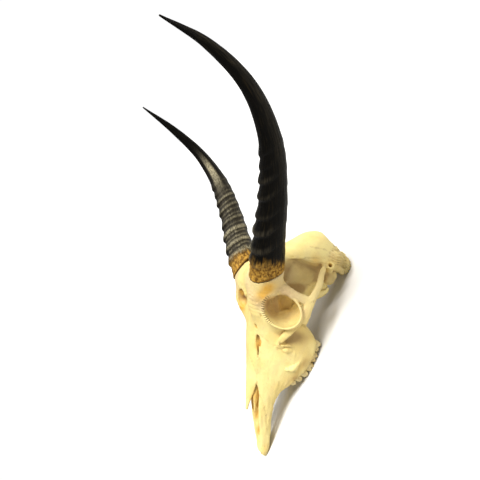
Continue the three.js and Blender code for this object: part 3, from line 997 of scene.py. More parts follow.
def finished(tree: Tree, shader: Node, color: Socket, height: Socket, strength: float,
             reach: float) -> None:
    """Links a finish's colour and its bump into the shader.

    Args:
        tree: the material's nodes.
        shader: its shader.
        color: the colour.
        height: the bump's height.
        strength: how strong the bump is.
        reach: how deep it is, in metres.
    """
    tree.link(color, shader.inputs["Base Color"])
    bump = tree.add("Bump", {"Height": height, "Strength": strength, "Distance": reach})
    tree.link(bump.outputs[0], shader.inputs["Normal"])


@dataclass(frozen=True)
class BoneFinish:
    """Dry cream-yellow bone, amber near the horns, with painted shade: tan in hollows and brown deep
    inside.
    """

    light: Colour = (0.94, 0.79, 0.33)
    warm: Colour = (0.89, 0.69, 0.25)
    pink: Colour = (0.70, 0.52, 0.30)
    # tan colours the specks, and the painted shade in hollows
    tan: Colour = (0.46, 0.31, 0.115)
    amber: Colour = (0.80, 0.44, 0.065)
    flesh: Colour = (0.56, 0.36, 0.19)
    # deep is painted shade: deep inside, in the forehead's opening and in the notches
    deep: Colour = (0.20, 0.10, 0.03)
    line: Colour = (0.34, 0.20, 0.07)
    roughness: float = 0.46
    specular: float = 0.35
    bump: float = 0.55
    bump_reach: float = 0.0008

    def material(self) -> Material:
        """The bone's material, from the marks that its mesh carries and from noise.

        Returns:
            The material.
        """
        tree, shader, where = start_material("aged_bone")
        grain = tree.placed(GRAIN, {"Where": where, "Size": 1.0, "Seed": 3.0})
        color = tree.mix(tree.ramp(grain.outputs["Tone"], 0.35, 0.68), self.light, self.warm)
        color = tree.mix(tree.times(tree.stored("rough"), 0.6), color, self.pink)
        color = tree.mix(tree.times(grain.outputs["Specks"], 0.22), color, self.tan)
        drawn = tree.add("Mapping", {"Vector": where, "Scale": (1.0, 0.22, 1.0)}).outputs[0]
        clouds = tree.ramp(tree.noise(drawn, 130.0, 5.0, Roughness=0.6), 0.45, 0.75)
        color = tree.mix(tree.times(clouds, 0.24), color, self.pink)
        blush = tree.times(tree.stored("flesh"), tree.ramp(tree.noise(where, 90.0, 4.0), 0.15, 0.60))
        color = tree.mix(tree.times(blush, 0.85), color, self.flesh)
        # Painted shade: towards tan where the hollow mark lies
        color = tree.placed(SHADE_AND_CEMENT, {"Color": color, "Hollow": tree.stored("hollow"), "Where": where,
                                    "Tint": (*self.tan, 1), "Amount": 0.95}).outputs["Color"]
        cloud = tree.noise(where, 150.0, 4.0)
        stain = tree.times(tree.stored("stain"), tree.plus(0.45, cloud), clamp=True)
        color = tree.mix(stain, color, self.amber)
        # Painted shade: dark brown where the deep mark lies
        color = tree.mix(tree.stored("deep"), color, self.deep)
        # Sutures in brown; the seam mark also holds painted shade in the valleys of the nape's layers
        faint = tree.times(tree.stored("seam"), tree.ramp(cloud, 0.25, 0.75))
        color = tree.mix(tree.times(faint, 0.6), color, self.line)
        # Painted shade: dark brown in the fine notches round each eye socket, which also sink the bump
        notch = tree.placed(NOTCHES, {"Where": where}).outputs["Notch"]
        color = tree.mix(tree.times(notch, 0.9), color, self.deep)
        shader.inputs["Roughness"].default_value = self.roughness
        shader.inputs["Specular IOR Level"].default_value = self.specular
        coarse = tree.times(tree.noise(where, 420.0, 4.0, Roughness=0.7), tree.stored("rough"))
        height = tree.plus(grain.outputs["Height"], tree.times(coarse, 3.5))
        height = tree.less(height, tree.times(notch, 2.2))
        finished(tree, shader, color, height, self.bump, self.bump_reach)
        return bpy.data.materials["aged_bone"]


@dataclass(frozen=True)
class HornFinish:
    """Near-black keratin with lengthwise fibres, gold-brown and flaky towards its rim, with painted light
    and shadow.
    """

    black: Colour = (0.0022, 0.0019, 0.0013)
    brown: Colour = (0.014, 0.010, 0.004)
    # grey and crest are painted light: a lighter grey face and pale highlights
    grey: Colour = (0.052, 0.044, 0.030)
    crest: Colour = (0.50, 0.44, 0.28)
    gold: Colour = (0.66, 0.37, 0.065)
    amber: Colour = (0.20, 0.095, 0.014)
    # dark is the threads between flakes, and the painted shadow just above the rim
    dark: Colour = (0.022, 0.011, 0.004)
    roughness: float = 0.36
    worn_roughness: float = 0.08
    specular: float = 0.08
    bump: float = 0.6
    bump_reach: float = 0.0008

    def material(self) -> Material:
        """The horn's material, whose noise follows the fibre vector that the mesh carries.

        Returns:
            The material.
        """
        tree, shader, where = start_material("ringed_horn")
        fibre = tree.stored("fibre", vector=True)
        worn, burr, crest = (tree.stored(name) for name in ("worn", "burr", "crest"))
        threads = tree.noise(fibre, 1.0, 4.0, Roughness=0.6)
        hairs = tree.noise(fibre, 3.2, 3.0, Roughness=0.6)
        across = tree.add("Mapping", {"Vector": fibre, "Scale": (0.30, 0.30, 6.0)}).outputs[0]
        layers = tree.noise(across, 1.0, 4.0, Roughness=0.6)
        grain = tree.placed(GRAIN, {"Where": where, "Size": 1.2, "Seed": 9.0})
        color = tree.mix(tree.ramp(threads, 0.50, 0.75), self.black, self.brown)
        # Painted light: grey where the worn mark lies, then pale painted highlights where crest and worn
        # meet
        painted_lit_grey = tree.times(worn, tree.ramp(threads, 0.28, 0.66))
        color = tree.mix(painted_lit_grey, color, self.grey)
        painted_highlight = tree.times(tree.times(crest, worn), tree.ramp(hairs, 0.40, 0.58))
        color = tree.mix(painted_highlight, color, self.crest)
        flame = tree.mix(tree.ramp(layers, 0.40, 0.58), self.amber, self.gold)
        flame = tree.mix(tree.ramp(hairs, 0.36, 0.50), self.dark, flame)
        above = tree.stored("above")
        flame = tree.mix(tree.times(above, 0.35), flame, self.amber)
        # Painted shadow: amber, then dark brown, over the lowest few millimetres above the rim
        flame = tree.mix(tree.ramp(above, 0.22, 0.08), flame, self.amber)
        flame = tree.mix(tree.ramp(above, 0.10, 0.03), flame, self.dark)
        color = tree.mix(burr, color, flame)
        rough = tree.plus(self.roughness, tree.times(worn, self.worn_roughness))
        tree.link(rough, shader.inputs["Roughness"])
        shader.inputs["Specular IOR Level"].default_value = self.specular
        height = tree.plus(threads, tree.times(grain.outputs["Height"], 0.25))
        height = tree.plus(height, tree.times(hairs, 0.5))
        height = tree.plus(height, tree.times(tree.times(layers, burr), 1.6))
        finished(tree, shader, color, height, self.bump, self.bump_reach)
        return bpy.data.materials["ringed_horn"]


@dataclass(frozen=True)
class ToothFinish:
    """Cream enamel with tan cement between its ribs and dark hollows on the chewing face."""

    enamel: Colour = (0.90, 0.77, 0.38)
    cement: Colour = (0.62, 0.45, 0.18)
    hollow: Colour = (0.13, 0.07, 0.03)
    roughness: float = 0.34
    bump: float = 0.25
    bump_reach: float = 0.0003

    def material(self) -> Material:
        """The teeth's material, from the groove and pit marks and from noise.

        Returns:
            The material.
        """
        tree, shader, where = start_material("old_enamel")
        grain = tree.placed(GRAIN, {"Where": where, "Size": 0.7, "Seed": 5.0})
        color = tree.mix(tree.ramp(grain.outputs["Tone"], 0.35, 0.70), self.enamel, self.cement)
        color = tree.placed(SHADE_AND_CEMENT, {"Color": color, "Hollow": tree.stored("groove"), "Where": where,
                                    "Tint": (*self.cement, 1), "Amount": 0.7}).outputs["Color"]
        color = tree.mix(tree.stored("pit"), color, self.hollow)
        shader.inputs["Roughness"].default_value = self.roughness
        finished(tree, shader, color, grain.outputs["Height"], self.bump, self.bump_reach)
        return bpy.data.materials["old_enamel"]


# The bone


@dataclass(frozen=True)
class Seam:
    """A suture: a crooked line drawn from one side, sunk a little into the bone."""

    path: Rows
    view: View = View.SIDE
    width: float = 0.8
    depth: float = 0.35
    crook: float = 1.0

    def mask(self, points: Array, normals: Array) -> Array:
        """1 on the line and 0 away from it, where the bone faces the side that it is drawn from.

        The path is smoothed, bent by noise, and the mask falls off as a bell over the distance to it.

        Args:
            points: rows of places.
            normals: their normals.

        Returns:
            One share per point.
        """
        a, b = self.view.value
        flat = np.stack([np.abs(points[:, a]) if a == 0 else points[:, a], points[:, b]], 1)
        flat = flat + self.crook * np.stack([noise(points, 2.6, 11 + k) for k in range(2)], 1)
        line = centripetal(np.array(self.path, float), 5)
        best = np.full(len(points), 1e3)
        for start, end in zip(line[:-1], line[1:]):
            run = end - start
            t = np.clip(((flat - start) @ run) / max(run @ run, 1e-9), 0, 1)
            best = np.minimum(best, np.linalg.norm(flat - start - t[:, None] * run, axis=1))
        facing = np.abs(normals[:, 3 - a - b])
        return bell(best, self.width) * smoothstep(0.15, 0.4, facing)


def patches(rows: Rows, points: Array) -> Array:
    """Sum of soft patches, the same on both sides: each falls off as a bell along three axes.

    Args:
        rows: the centre's x, y and z, the three half widths and the strength of each patch.
        points: rows of places.

    Returns:
        One number per point.
    """
    folded = np.column_stack([np.abs(points[:, 0]), points[:, 1:]])
    total = np.zeros(len(points))
    for row in np.array(rows, float):
        total += row[6] * np.exp(-(((folded - row[:3]) / row[3:6]) ** 2).sum(1))
    return total


@dataclass
class Cranium:
    """The skull bone: outlines along its length, what is joined on and what is hollowed out.

    fold_line is the folds' path on the socket's inner wall, upwards and backwards from its centre.
    temple is the temporal line: heights and, at each, how far back the sunken field reaches.
    waves are the heights, sizes and seeds of the waves all over the bone.
    """

    cell: float = 1.0
    most_triangles: int = 196000
    fold_line: Rows = ((12.4, 7), (8.5, 0.5), (2.7, -6.7), (-3, -2), (-6.4, 0.9), (-10, 11))
    fold_height: float = 2.2
    fold_width: float = 2.4
    temple: Rows = (
        (40.6, 56.6, 70.6, 73.3, 83.1, 92.5, 104.0), (96.6, 90.2, 87.0, 85.0, 80.7, 76.3, 71.0))
    temple_depth: float = 0.9
    temple_shade: float = 0.42
    waves: Rows = ((0.34, 17, 1), (0.24, 6, 2), (0.11, 2.6, 3))
    streak_height: float = 0.5
    layer_height: float = 1.25
    layer_pitch: float = 1.55
    pit_depth: float = 0.6
    foot_middle: Point = (41, 40, 100)
    near_reach: int = 3
    broad_reach: int = 10
    # Amber patches
    amber: Rows = (
        (44, 34, 103, 18, 6, 7, 1.7), (40, 25, 103, 17, 9, 6, 1.5), (21.5, 19, 109, 6, 4.5, 6, 1.2),
        (20.5, 1, 100, 6, 5, 6, 1.2), (22, 9, 105, 6, 8, 5, 0.6), (36, 90, 56, 6, 8, 7, 0.5),
        (35, 91, 36, 5, 5, 5, 0.8), (18.5, -32, 73, 3.4, 7, 4.5, 0.9),
        (21, -13.5, 85, 2, 3, 3, 0.8), (8, -86, 44, 7, 14, 9, 0.9), (7, -108, 32, 6, 12, 8, 0.8),
        (9, -118, 26, 3.5, 10, 3, 0.8), (8, -133, 17, 3, 8, 3, 0.8), (11, -145, 8, 3, 8, 4, 0.4),
        (29, 46, 104, 9, 4, 8, 0.3), (52, -2, 50, 3, 6, 6, 0.2), (34, -44, 17, 6, 20, 3, 0.35),
        (44, 2, 24, 8, 12, 12, 0.25),
    )
    # Painted shade: grey-brown patches added to the hollow mark; the negative one takes painted shade off
    # the eye socket
    painted_shade_patches: Rows = (
        (43.5, -9, 77, 4, 4, 9, 0.9), (50, 40, 54, 3, 4, 9, 0.25), (26, 50, 58, 8, 7, 12, 0.8),
        (42, -11, 47, 6, 9, 8, 1), (47, 0, 41, 6, 9, 8, 0.7), (38, 76, 44, 5, 14, 7, 0.6),
        (30, 75, 37, 7, 13, 7, 1), (36, 18, 76, 15, 17, 19, -0.55), (41, -4, 34, 5, 10, 9, 0.5),
        (36, -14, 24, 10, 18, 14, 0.3), (35, -27, 15, 4, 12, 6, 0.8), (30, -52, 16, 5, 9, 5, 0.7),
        (27, 82, 24, 10, 11, 9, 0.8), (16, 2, 99, 6, 9, 6, 0.4),
    )
    # Pinkish-brown patches: in the eye socket, behind it, under it and at the horn's foot
    pinkish: Rows = (
        (30, 20, 76, 14, 16, 18, 1.3), (52, 36, 78, 7, 7, 14, 0.55), (46, 48, 96, 10, 8, 7, 0.5),
        (51, 24, 50, 6, 16, 8, 0.4),
    )
    # Painted shade: the dark depth of the opening in the forehead
    painted_foramen_shade: Rows = ((14.5, 14, 105.2, 10, 4.2, 3.8, 1.9),)
    orbit: Orbit = field(default_factory=Orbit)
    # y, then x and z from the middle on top, six corners round the side, to the middle underneath
    sections: Rows = (
        (-155, 0, 5, 3.8, 6.4, 6.8, 6.8, 8.6, 4.8, 8.4, 2.9, 6.4, 1.4, 3.2, 1.3, 0, 1.6),
        (-152.5, 0, 6, 4.6, 8, 9.4, 8.8, 10.6, 5.8, 10.2, 3, 8, 1, 4.2, 1, 0, 1.4),
        (-146, 0, 7.6, 5.4, 9.8, 10.8, 12.2, 12.2, 8.4, 11.8, 4.2, 9.4, 1.6, 4.8, 1.6, 0, 2.2),
        (-134, 0, 13.6, 6.8, 16, 13.8, 20.2, 14.8, 14.4, 14.2, 8.8, 11.2, 5.4, 5.5, 5.2, 0, 5.8),
        (-118, 0, 24, 8.8, 26.5, 15.9, 31.2, 17.6, 24.2, 16.8, 16.8, 13.5, 12.8, 6.8, 13, 0, 14.2),
        (-102, 0, 33, 9.8, 35, 17.4, 39.8, 19, 31.5, 18.4, 23.4, 15, 18.6, 7.8, 19.4, 0, 20.6),
        (-89, 0, 41, 9.8, 42.4, 17.4, 45, 20.2, 36.5, 19.6, 27.8, 16.4, 21.6, 8.8, 22.8, 0, 24.2),
        (-80, 0, 48, 9.8, 48.8, 16.8, 50.6, 20.8, 41, 21.4, 30, 17.8, 21.4, 9.6, 23.4, 0, 25),
        (-75, 0, 58, 9.2, 57, 16.2, 55, 21.4, 43, 22.6, 30.6, 18.8, 20.4, 10.2, 23.4, 0, 25.2),
        (-62, 0, 70, 9.5, 68.2, 17.2, 61.8, 24.2, 45.5, 26.4, 30, 23.8, 14.6, 12.5, 22, 0, 26),
        (-50, 0, 75.9, 10, 74, 18.7, 67.2, 27.4, 47.5, 31, 29, 28.8, 11.2, 15.5, 21.6, 0, 26.5),
        (-38, 0, 81.6, 10.5, 79.8, 20.2, 71.8, 31, 50.5, 35.2, 29, 32.8, 8.2, 17.5, 21.4, 0, 27),
        (-24, 0, 88, 11.5, 86.2, 22.7, 78, 34, 56, 38.4, 31, 35.6, 7, 18.5, 21.4, 0, 27.5),
        (-12, 0, 93, 12.5, 91.8, 25.8, 88, 36.5, 62, 40.2, 34, 36.6, 7.8, 18.8, 22, 0, 28),
        (-2, 0, 96.6, 13, 97.4, 28.8, 101, 38.5, 74, 40, 38, 36, 9.6, 18.5, 22.6, 0, 29),
        (8, 0, 101, 14, 103, 31, 110.8, 39.5, 84, 36.8, 48, 31.6, 20.5, 17, 25.5, 0, 30.5),
        (20, 0, 109, 16, 112.8, 33.5, 115, 46.5, 92, 27, 62, 21, 38, 13.5, 30, 0, 34),
        (32, 0, 119.6, 16, 123, 33.5, 118.6, 49.8, 92, 25, 68, 18, 44, 12.5, 33, 0, 39),
        (45, 0, 124.4, 16, 125.6, 32, 119, 47, 93.5, 30.5, 74, 22.5, 48, 14, 36.5, 0, 42),
        (58, 0, 121.5, 15.5, 121.2, 30, 113.5, 39.5, 96, 35.5, 74, 28.5, 50, 15.5, 38, 0, 41),
        (70, 0, 114, 15.5, 113, 29, 106, 37.8, 91, 36.8, 70, 31.5, 46, 17, 33, 0, 34.5),
        (82, 0, 104.5, 15, 103.2, 28, 97, 37.4, 81, 37.8, 60, 33, 37, 18, 24, 0, 26),
        (94, 0, 94.5, 14.5, 92.6, 27, 86, 36.2, 70, 37.4, 50, 33, 28.5, 18, 14, 0, 14),
        (106, 0, 85.2, 13.5, 82.8, 24.5, 76, 33, 61.5, 34.4, 43, 30.5, 24, 16.5, 10, 0, 11.5),
        (118, 0, 76.8, 11.5, 74.6, 20.5, 68.4, 28, 57, 29, 44, 25.5, 28, 14, 18, 0, 18),
        (127, 0, 68.8, 8.5, 66.4, 15, 61, 20, 54, 20.4, 48, 17, 43, 9, 40, 0, 39.5),
        (132.6, 0, 61, 4.5, 59.6, 8, 57.5, 10.4, 55, 10.4, 52.5, 8.4, 50, 4.5, 48.6, 0, 48.2),
    )

    def first_additions(self) -> list[tuple[Shape, float]]:
        """What is joined on before the hollows are cut, each with how softly it runs in."""
        out = self.orbit.frame()[0]
        wall = np.array(self.orbit.centre) - out * 15 + (0, -1.5, 0)
        return [
            (Lump(tuple(wall), (19, 25.5, 24.5), turn=-8), 8),
            (Stem(HORNS.core_rows(22.3, -34, 24), hint=HORNS.front, cap=3.0), 9),
            (Lump((25.2, 81.2, 25.8), (8.2, 9.8, 7.8), tilt=25), 1.2),
            (Lump((28, 84.6, 23.4), (5.4, 5.8, 5.8), tilt=20), 1.2),
            (Lump((12.5, 111, 16.5), (8.6, 9.6, 8.2)), 3),
            (Stem(((28, 88, 31, 5.4, 5.4), (35, 91, 34.5, 5, 5), (42, 93, 37.2, 5, 5)),
                  cap=0.8), 1),
            (Lump((14, 106, 8.1), (7.6, 11.4, 8.2), tilt=12), 3),
            (Stem(((27, 99, 30, 5, 6), (26, 97.5, 21, 3.8, 5), (24.6, 96.5, 14, 2.6, 3.4),
                   (24, 96, 10.5, 1.6, 2)), hint=(0, 1, 0)), 3),
            (Lump((27.5, 104, 31), (9, 10.5, 12.5), tilt=20), 3),
        ]

    def side_hollows(self) -> list[tuple[Shape, float]]:
        """What is cut out beside the middle, each with how rounded its edge is."""
        return [
            (Lump((50.5, 59.5, 65), (16.5, 19.5, 24)), 4),
            (Block((47, 66, 68), (13.4, 18.6, 23), 6), 1.4),
            (Lump((47, 40, 26), (17.6, 26, 17.5), tilt=8), 6),
            (Lump((15.6, 10.5, 109), (9.6, 12.5, 8.2), tilt=32), 2.2),
            (Lump((14.6, 14.6, 103), (3.6, 4.4, 5), tilt=32), 0.8),
            (Stem(((18, 18, 111, 1.6, 1.9), (20.5, 24, 113, 1.2, 1.6), (22, 30, 118, 1, 1.4))), 0.8),
            (Stem(((20, -23.6, 79.5, 1.5, 4), (20.6, -27, 77.2, 3, 5), (21, -31, 74.6, 3.6, 5),
                   (19.4, -37, 71.6, 2, 4), (18.4, -42, 69, 1, 3), (18, -48, 66.2, 0.4, 2)),
                  hint=(0.7, 0, 0.7), cap=1.0), 0.7),
            (Lump((22, -13.5, 86.5), (1.9, 3.6, 3.6), tilt=28), 0.6),
            (Stem(((5.4, -104, 26, 2, 12), (5.4, -128, 20, 1.6, 12))), 0.8),
            (Stem(((30, 89, 32.4, 2.2, 2.2), (45, 94.2, 38.6, 2.9, 2.9))), 0.6),
        ]

    def middle_hollows(self) -> list[tuple[Shape, float]]:
        """The inside of the nose, the slit at the tip, the throat and the spinal opening."""
        nose = tuple((0, y, (roof + floor) / 2, half, (roof - floor) / 2) for y, roof, half, floor in (
            (-148, 15, 3.4, 7.5), (-139, 25, 7, 9.5), (-130, 33, 9.4, 14), (-116, 44, 12.4, 19.5),
            (-100, 52, 14.4, 25), (-84, 55.5, 15.2, 29.5), (-74, 56.5, 14.8, 31), (-56, 62, 14, 33),
            (-34, 70, 14, 35), (-16, 74, 12, 38)))
        return [
            (Stem(nose, cap=3.0), 1),
            (Stem(((0, -160, 5, 2.2, 9), (0, -148, 6, 1.2, 9), (0, -138, 8, 0.8, 9))), 0.8),
            (Stem(((0, 6, 30, 7, 4), (0, 14, 28, 10, 12), (0, 34, 26, 10.6, 15), (0, 56, 22, 11.5, 14),
                   (0, 74, 13, 12, 12))), 3),
            (Stem(((0, 88, 36, 7, 6), (0, 104, 22, 8.2, 7.5), (0, 122, 6, 9.5, 9)),
                  hint=(0, 0.6, 0.8)), 1.5),
        ]

    def inner_nose(self) -> list[tuple[Shape, float]]:
        """The scrolls and the middle plate inside the nose."""
        return [
            (Stem(((4.6, -110, 36.6, 0.8, 1.4), (5.4, -101, 41, 1.5, 2.6), (6.6, -89, 45.4, 2.4, 4.6),
                   (8.2, -64, 50, 3.6, 8), (8.6, -12, 58, 4, 12))), 1),
            (Stem(((8.5, -106, 31, 0.8, 1.4), (9.5, -92, 35, 1.8, 3), (10, -70, 38, 2.4, 4))), 1),
            (Stem(((0, -96, 27, 0.9, 4), (0, -70, 40, 1.2, 14), (0, -12, 56, 1.6, 24)), steps=2), 1),
        ]

    def cheek(self) -> list[tuple[Shape, float]]:
        """The cheekbone with its arch, the bar behind the eye, the cheek's lumps and ridges."""
        return [
            (Stem(((35, -24, 53, 3, 4), (41, -14, 53.5, 4.2, 6.5), (47.5, -1, 49.5, 4.2, 8),
                   (52.6, 14, 46.5, 3.6, 7.4), (54.4, 28, 46.5, 3, 6), (54.6, 40, 47, 2.8, 5.2),
                   (55, 52, 45.8, 2.3, 4.4), (54.2, 64, 45.6, 2.2, 4), (51, 76, 46.8, 2.4, 3.8),
                   (45, 86, 45.4, 2.8, 3.6), (34, 93, 42, 4, 5))), 4),
            (Stem(((38, 44, 94, 8, 5), (47.5, 41.5, 87.5, 6.6, 3.6), (51.8, 39.5, 77, 5.6, 3),
                   (53.8, 38.6, 65, 5.2, 2.8), (54.6, 38.6, 54, 5.6, 2.7), (54.4, 38, 45, 6, 2.6)),
                  hint=(1, 0, 0)), 4.5),
            (Stem(((33.5, -46, 31, 2.2, 2.6), (35.6, -42, 25.4, 3.4, 3.4), (35.2, -36, 22.6, 2.6, 2.6),
                   (35.8, -29, 20.8, 1.7, 1.7), (36.2, -24, 20.6, 1, 1)), hint=(1, 0, 0)), 1.8),
            (Stem(((38.8, -22.6, 55, 1, 1.2), (39.8, -19.4, 47.4, 1.7, 1.5), (39.4, -17.8, 39.5, 1.6, 1.4),
                   (38, -20, 34, 1.1, 1.1)), hint=(1, 0, 0)), 1.2),
            (Lump((46, 45, 96), (8, 9, 9)), 6),
            (Lump((36.4, -24.4, 42.5), (3, 3.8, 6), tilt=25), 2),
            (Lump((35.6, -24, 32.5), (3, 4.6, 3.6), tilt=-20), 2),
            (Stem(((20.6, -36, 70.5, 1, 1), (21.2, -39, 68, 1.7, 1.7),
                   (20.2, -45, 64.5, 1, 1))), 1),
            (Stem(((31, 73, 93, 1.2, 1.2), (35.4, 78.2, 86, 1.5, 1.5), (36.6, 83.5, 76, 1.6, 1.6),
                   (36.8, 86.5, 64, 1.6, 1.6), (37.4, 88, 54, 1.9, 1.9), (35, 94, 46, 2.2, 2.2),
                   (31, 102, 40, 2, 2)), hint=(1, 0, 0)), 2.6),
            (Rim(self.orbit), 1.6),
        ]

    def throat_plates(self) -> list[tuple[Shape, float]]:
        """The palatine and pterygoid plates beside the throat."""
        return [
            (Stem(((15.5, 4, 34, 3, 6), (14.5, 20, 33, 2.4, 8.2), (14, 36, 33.5, 2.2, 9),
                   (14.5, 50, 34, 2.2, 8.6), (17, 62, 31, 2.4, 9.6), (20, 72, 28, 3, 9))), 2.5),
            (Stem(((18, 52, 30, 2.2, 5), (20.5, 58, 24.5, 2, 4.6), (22, 64.5, 19.6, 1.4, 2.6),
                   (22.4, 67.5, 19.6, 0.9, 1.4))), 1.5),
        ]

    def folds(self, points: Array) -> Array:
        """Height of the folds on the eye socket's inner wall, which meet in a V.

        It is a bell over the distance to the fold line, kept to the wall's depth in the socket.

        Args:
            points: rows of places.

        Returns:
            One share per point, from 0 to 1.
        """
        side = np.abs(points[:, 0])
        rise, high, rear, _ = self.orbit.polar(side, points[:, 1], points[:, 2])
        place = np.stack([high, rear], 1)
        corners = np.array(self.fold_line)
        off = np.full(len(points), np.inf)
        for a, b in zip(corners[:-1], corners[1:]):
            share = np.clip(((place - a) @ (b - a)) / ((b - a) @ (b - a)), 0, 1)[:, None]
            off = np.minimum(off, np.linalg.norm(place - a - share * (b - a), axis=1))
        return bell(off, self.fold_width) * smoothstep(-12, -17, rise) * smoothstep(-36, -30, rise)

    def roots(self) -> list[tuple[Shape, float]]:
        """The low swellings over each lobe of the teeth, along the edge of the jaw."""
        swellings = []
        for tooth in TEETH:
            for k in range(tooth.lobes):
                share = (k + 0.5) / tooth.lobes
                y = tooth.front + (tooth.back - tooth.front) * share
                aside = tooth.outer[0] + (tooth.outer[1] - tooth.outer[0]) * share
                half = (tooth.back - tooth.front) / tooth.lobes / 2
                swellings.append((Lump((aside - 1.4, y, tooth.bite + 12), (2.9, half, 7.5)), 1.6))
        return swellings

    def crests(self) -> list[tuple[Shape, float]]:
        """What is cut under the cheek's crest and beside the eye socket, after all is joined."""
        return [
            (Stem(((39, -20.4, 54, 2, 2.6), (40, -17.5, 52.4, 3.2, 4.2),
                   (43.6, -11.5, 47.6, 5, 7.6), (47.8, -2.5, 42.4, 6.6, 8.8), (54, 8, 38, 8, 8.5)),
                  hint=(-0.35, 0, 1)), 0.7),
            (Stem(((36.6, -1, 90, 1.2, 1.6), (41.5, -8.6, 78.5, 1.7, 2), (46.6, -10.8, 66, 1.5, 1.8),
                   (50, -10.2, 57, 0.8, 1)), hint=(1, 0, 0.3)), 1.2),
            (Lump((44.5, -12.5, 71), (2.6, 3.6, 8), tilt=-10), 2),
        ]

    def distances(self) -> BoneField:
        """One half of the bone: what is joined on and cut out, one after another.

        Returns:
            The distances on the grid.
        """
        bone = BoneField(cell=self.cell)
        bone.body(np.array(self.sections))
        for shape, blend in self.first_additions():
            bone.merge(shape, blend)
        for shape, blend in self.side_hollows() + self.middle_hollows():
            bone.merge(shape, blend, cut=True)
        bone.merge(NasalBones(), 1.0)
        for shape, blend in self.inner_nose() + self.cheek() + self.throat_plates() + self.roots():
            bone.merge(shape, blend)
        for shape, blend in self.crests():
            bone.merge(shape, blend, cut=True)
        bone.merge(self.orbit.socket(), 1.2, cut=True)
        bone.merge(HornSeat(), 0.6, cut=True)
        bone.merge(Stem(HORNS.core_rows(15.6, -20, 20), hint=HORNS.front, cap=1.0), 0.5)
        for tooth in TEETH:
            bone.merge(tooth.socket(), 0.6, cut=True)
        return bone

    def seams(self) -> list[Seam]:
        """The sutures and thin cracks that show."""
        return [
            Seam(((0, -62), (0.3, -20), (-0.2, 30), (0, 66)), View.TOP, 0.6, 0.35, 0.8),
            Seam(((0, -113), (0, -62)), View.TOP, 0.5, 0.4, 0.3),
            Seam(((5.5, -112), (7.6, -122), (7.0, -134), (4.6, -149)), View.TOP, 0.6, 0.3, 0.8),
            Seam(((11.5, -100), (12.8, -114), (10.0, -134), (7.5, -146)), View.TOP, 0.5, 0.2, 0.6),
            Seam(((0, -44), (7, -49), (13, -58), (16.5, -66)), View.TOP, 0.6, 0.3, 0.8),
            Seam(((0, 66), (10, 65), (20, 63), (30, 60), (38, 58)), View.TOP, 0.8, 0.35, 1.8),
            Seam(((-47, 66), (-62, 60.5), (-76, 54), (-90, 48)), View.SIDE, 0.7, 0.4, 0.6),
            Seam(((-88, 46), (-93, 40), (-100, 34), (-108, 26), (-116, 17)), View.SIDE, 0.6, 0.25, 0.9),
            Seam(((-22, 78), (-24, 70), (-27, 62), (-24, 56)), View.SIDE, 0.6, 0.3, 1.0),
            Seam(((-11, 62), (-16, 58), (-24, 56), (-33, 50)), View.SIDE, 0.6, 0.3, 1.2),
            Seam(((52, 84), (62, 86), (72, 84), (82, 76), (89, 66), (95, 54), (99, 44)),
                 View.SIDE, 0.7, 0.3, 1.6),
            Seam(((104, 66), (108, 56), (110, 46), (108, 36)), View.SIDE, 0.8, 0.35, 1.6),
            Seam(((40, 60), (50, 61), (58, 58)), View.SIDE, 0.5, 0.3, 1.2),
            Seam(((33, 44), (38, 47), (43, 43)), View.SIDE, 0.6, 0.25, 1.0),
            Seam(((20, 22), (23, 26), (24, 30)), View.TOP, 0.5, 0.4, 0.6),
        ]

    def layers(self, points: Array) -> Array:
        """Waves of the layered nape: a sine along Y, bent and roughened by noise."""
        along = points[:, 1] + points[:, 2] * 0.12 + 4.0 * noise(points, 10, 6)
        return np.sin(along * self.layer_pitch) + 0.6 * noise(points, 2.6, 9)

    def fossa(self, points: Array) -> Array:
        """Share of the temple's sunken field, whose upper edge is the crisp temporal line.

        It is a product of eased steps: at the line, and at the field's front, sides and foot.

        Args:
            points: rows of places.

        Returns:
            One share per point.
        """
        side, y, z = np.abs(points[:, 0]), points[:, 1], points[:, 2]
        edge = np.interp(z, *self.temple) - 0.18 * (side - 34)
        inner = smoothstep(-0.6, 0.6, edge - y) * smoothstep(40, 50, y)
        return inner * smoothstep(22, 28, side) * smoothstep(48.5, 46.5, side) * smoothstep(36, 44, z)

    @staticmethod
    def nape(points: Array) -> Array:
        """Share of the nape, the rough field above and beside the condyles."""
        back = smoothstep(98, 106, points[:, 1] + 0.30 * (40 - points[:, 2]))
        return back * smoothstep(42, 36, points[:, 2] + 0.4 * (points[:, 1] - 115))

    def roughness(self, points: Array) -> Array:
        """Where the bone is coarse: a shell round the horns' feet, the brow, the nape and the arch.

        Args:
            points: rows of places.

        Returns:
            One share per point.
        """
        side, y, z = np.abs(points[:, 0]), points[:, 1], points[:, 2]
        x_foot, y_foot, z_foot = self.foot_middle
        around = np.hypot(np.hypot(side - x_foot, y - y_foot), z - z_foot)
        foot = bell(around - 27, 7)
        orbit = np.linalg.norm(np.stack([side, y, z], 1) - self.orbit.centre, axis=1)
        edge = bell(orbit - 25, 5) * smoothstep(20, 44, y + z * 0.3)
        arch = smoothstep(49, 53, side) * smoothstep(30, 44, y)
        return np.clip(foot + 0.7 * edge + 0.4 * self.nape(points) + 0.5 * arch, 0, 1)

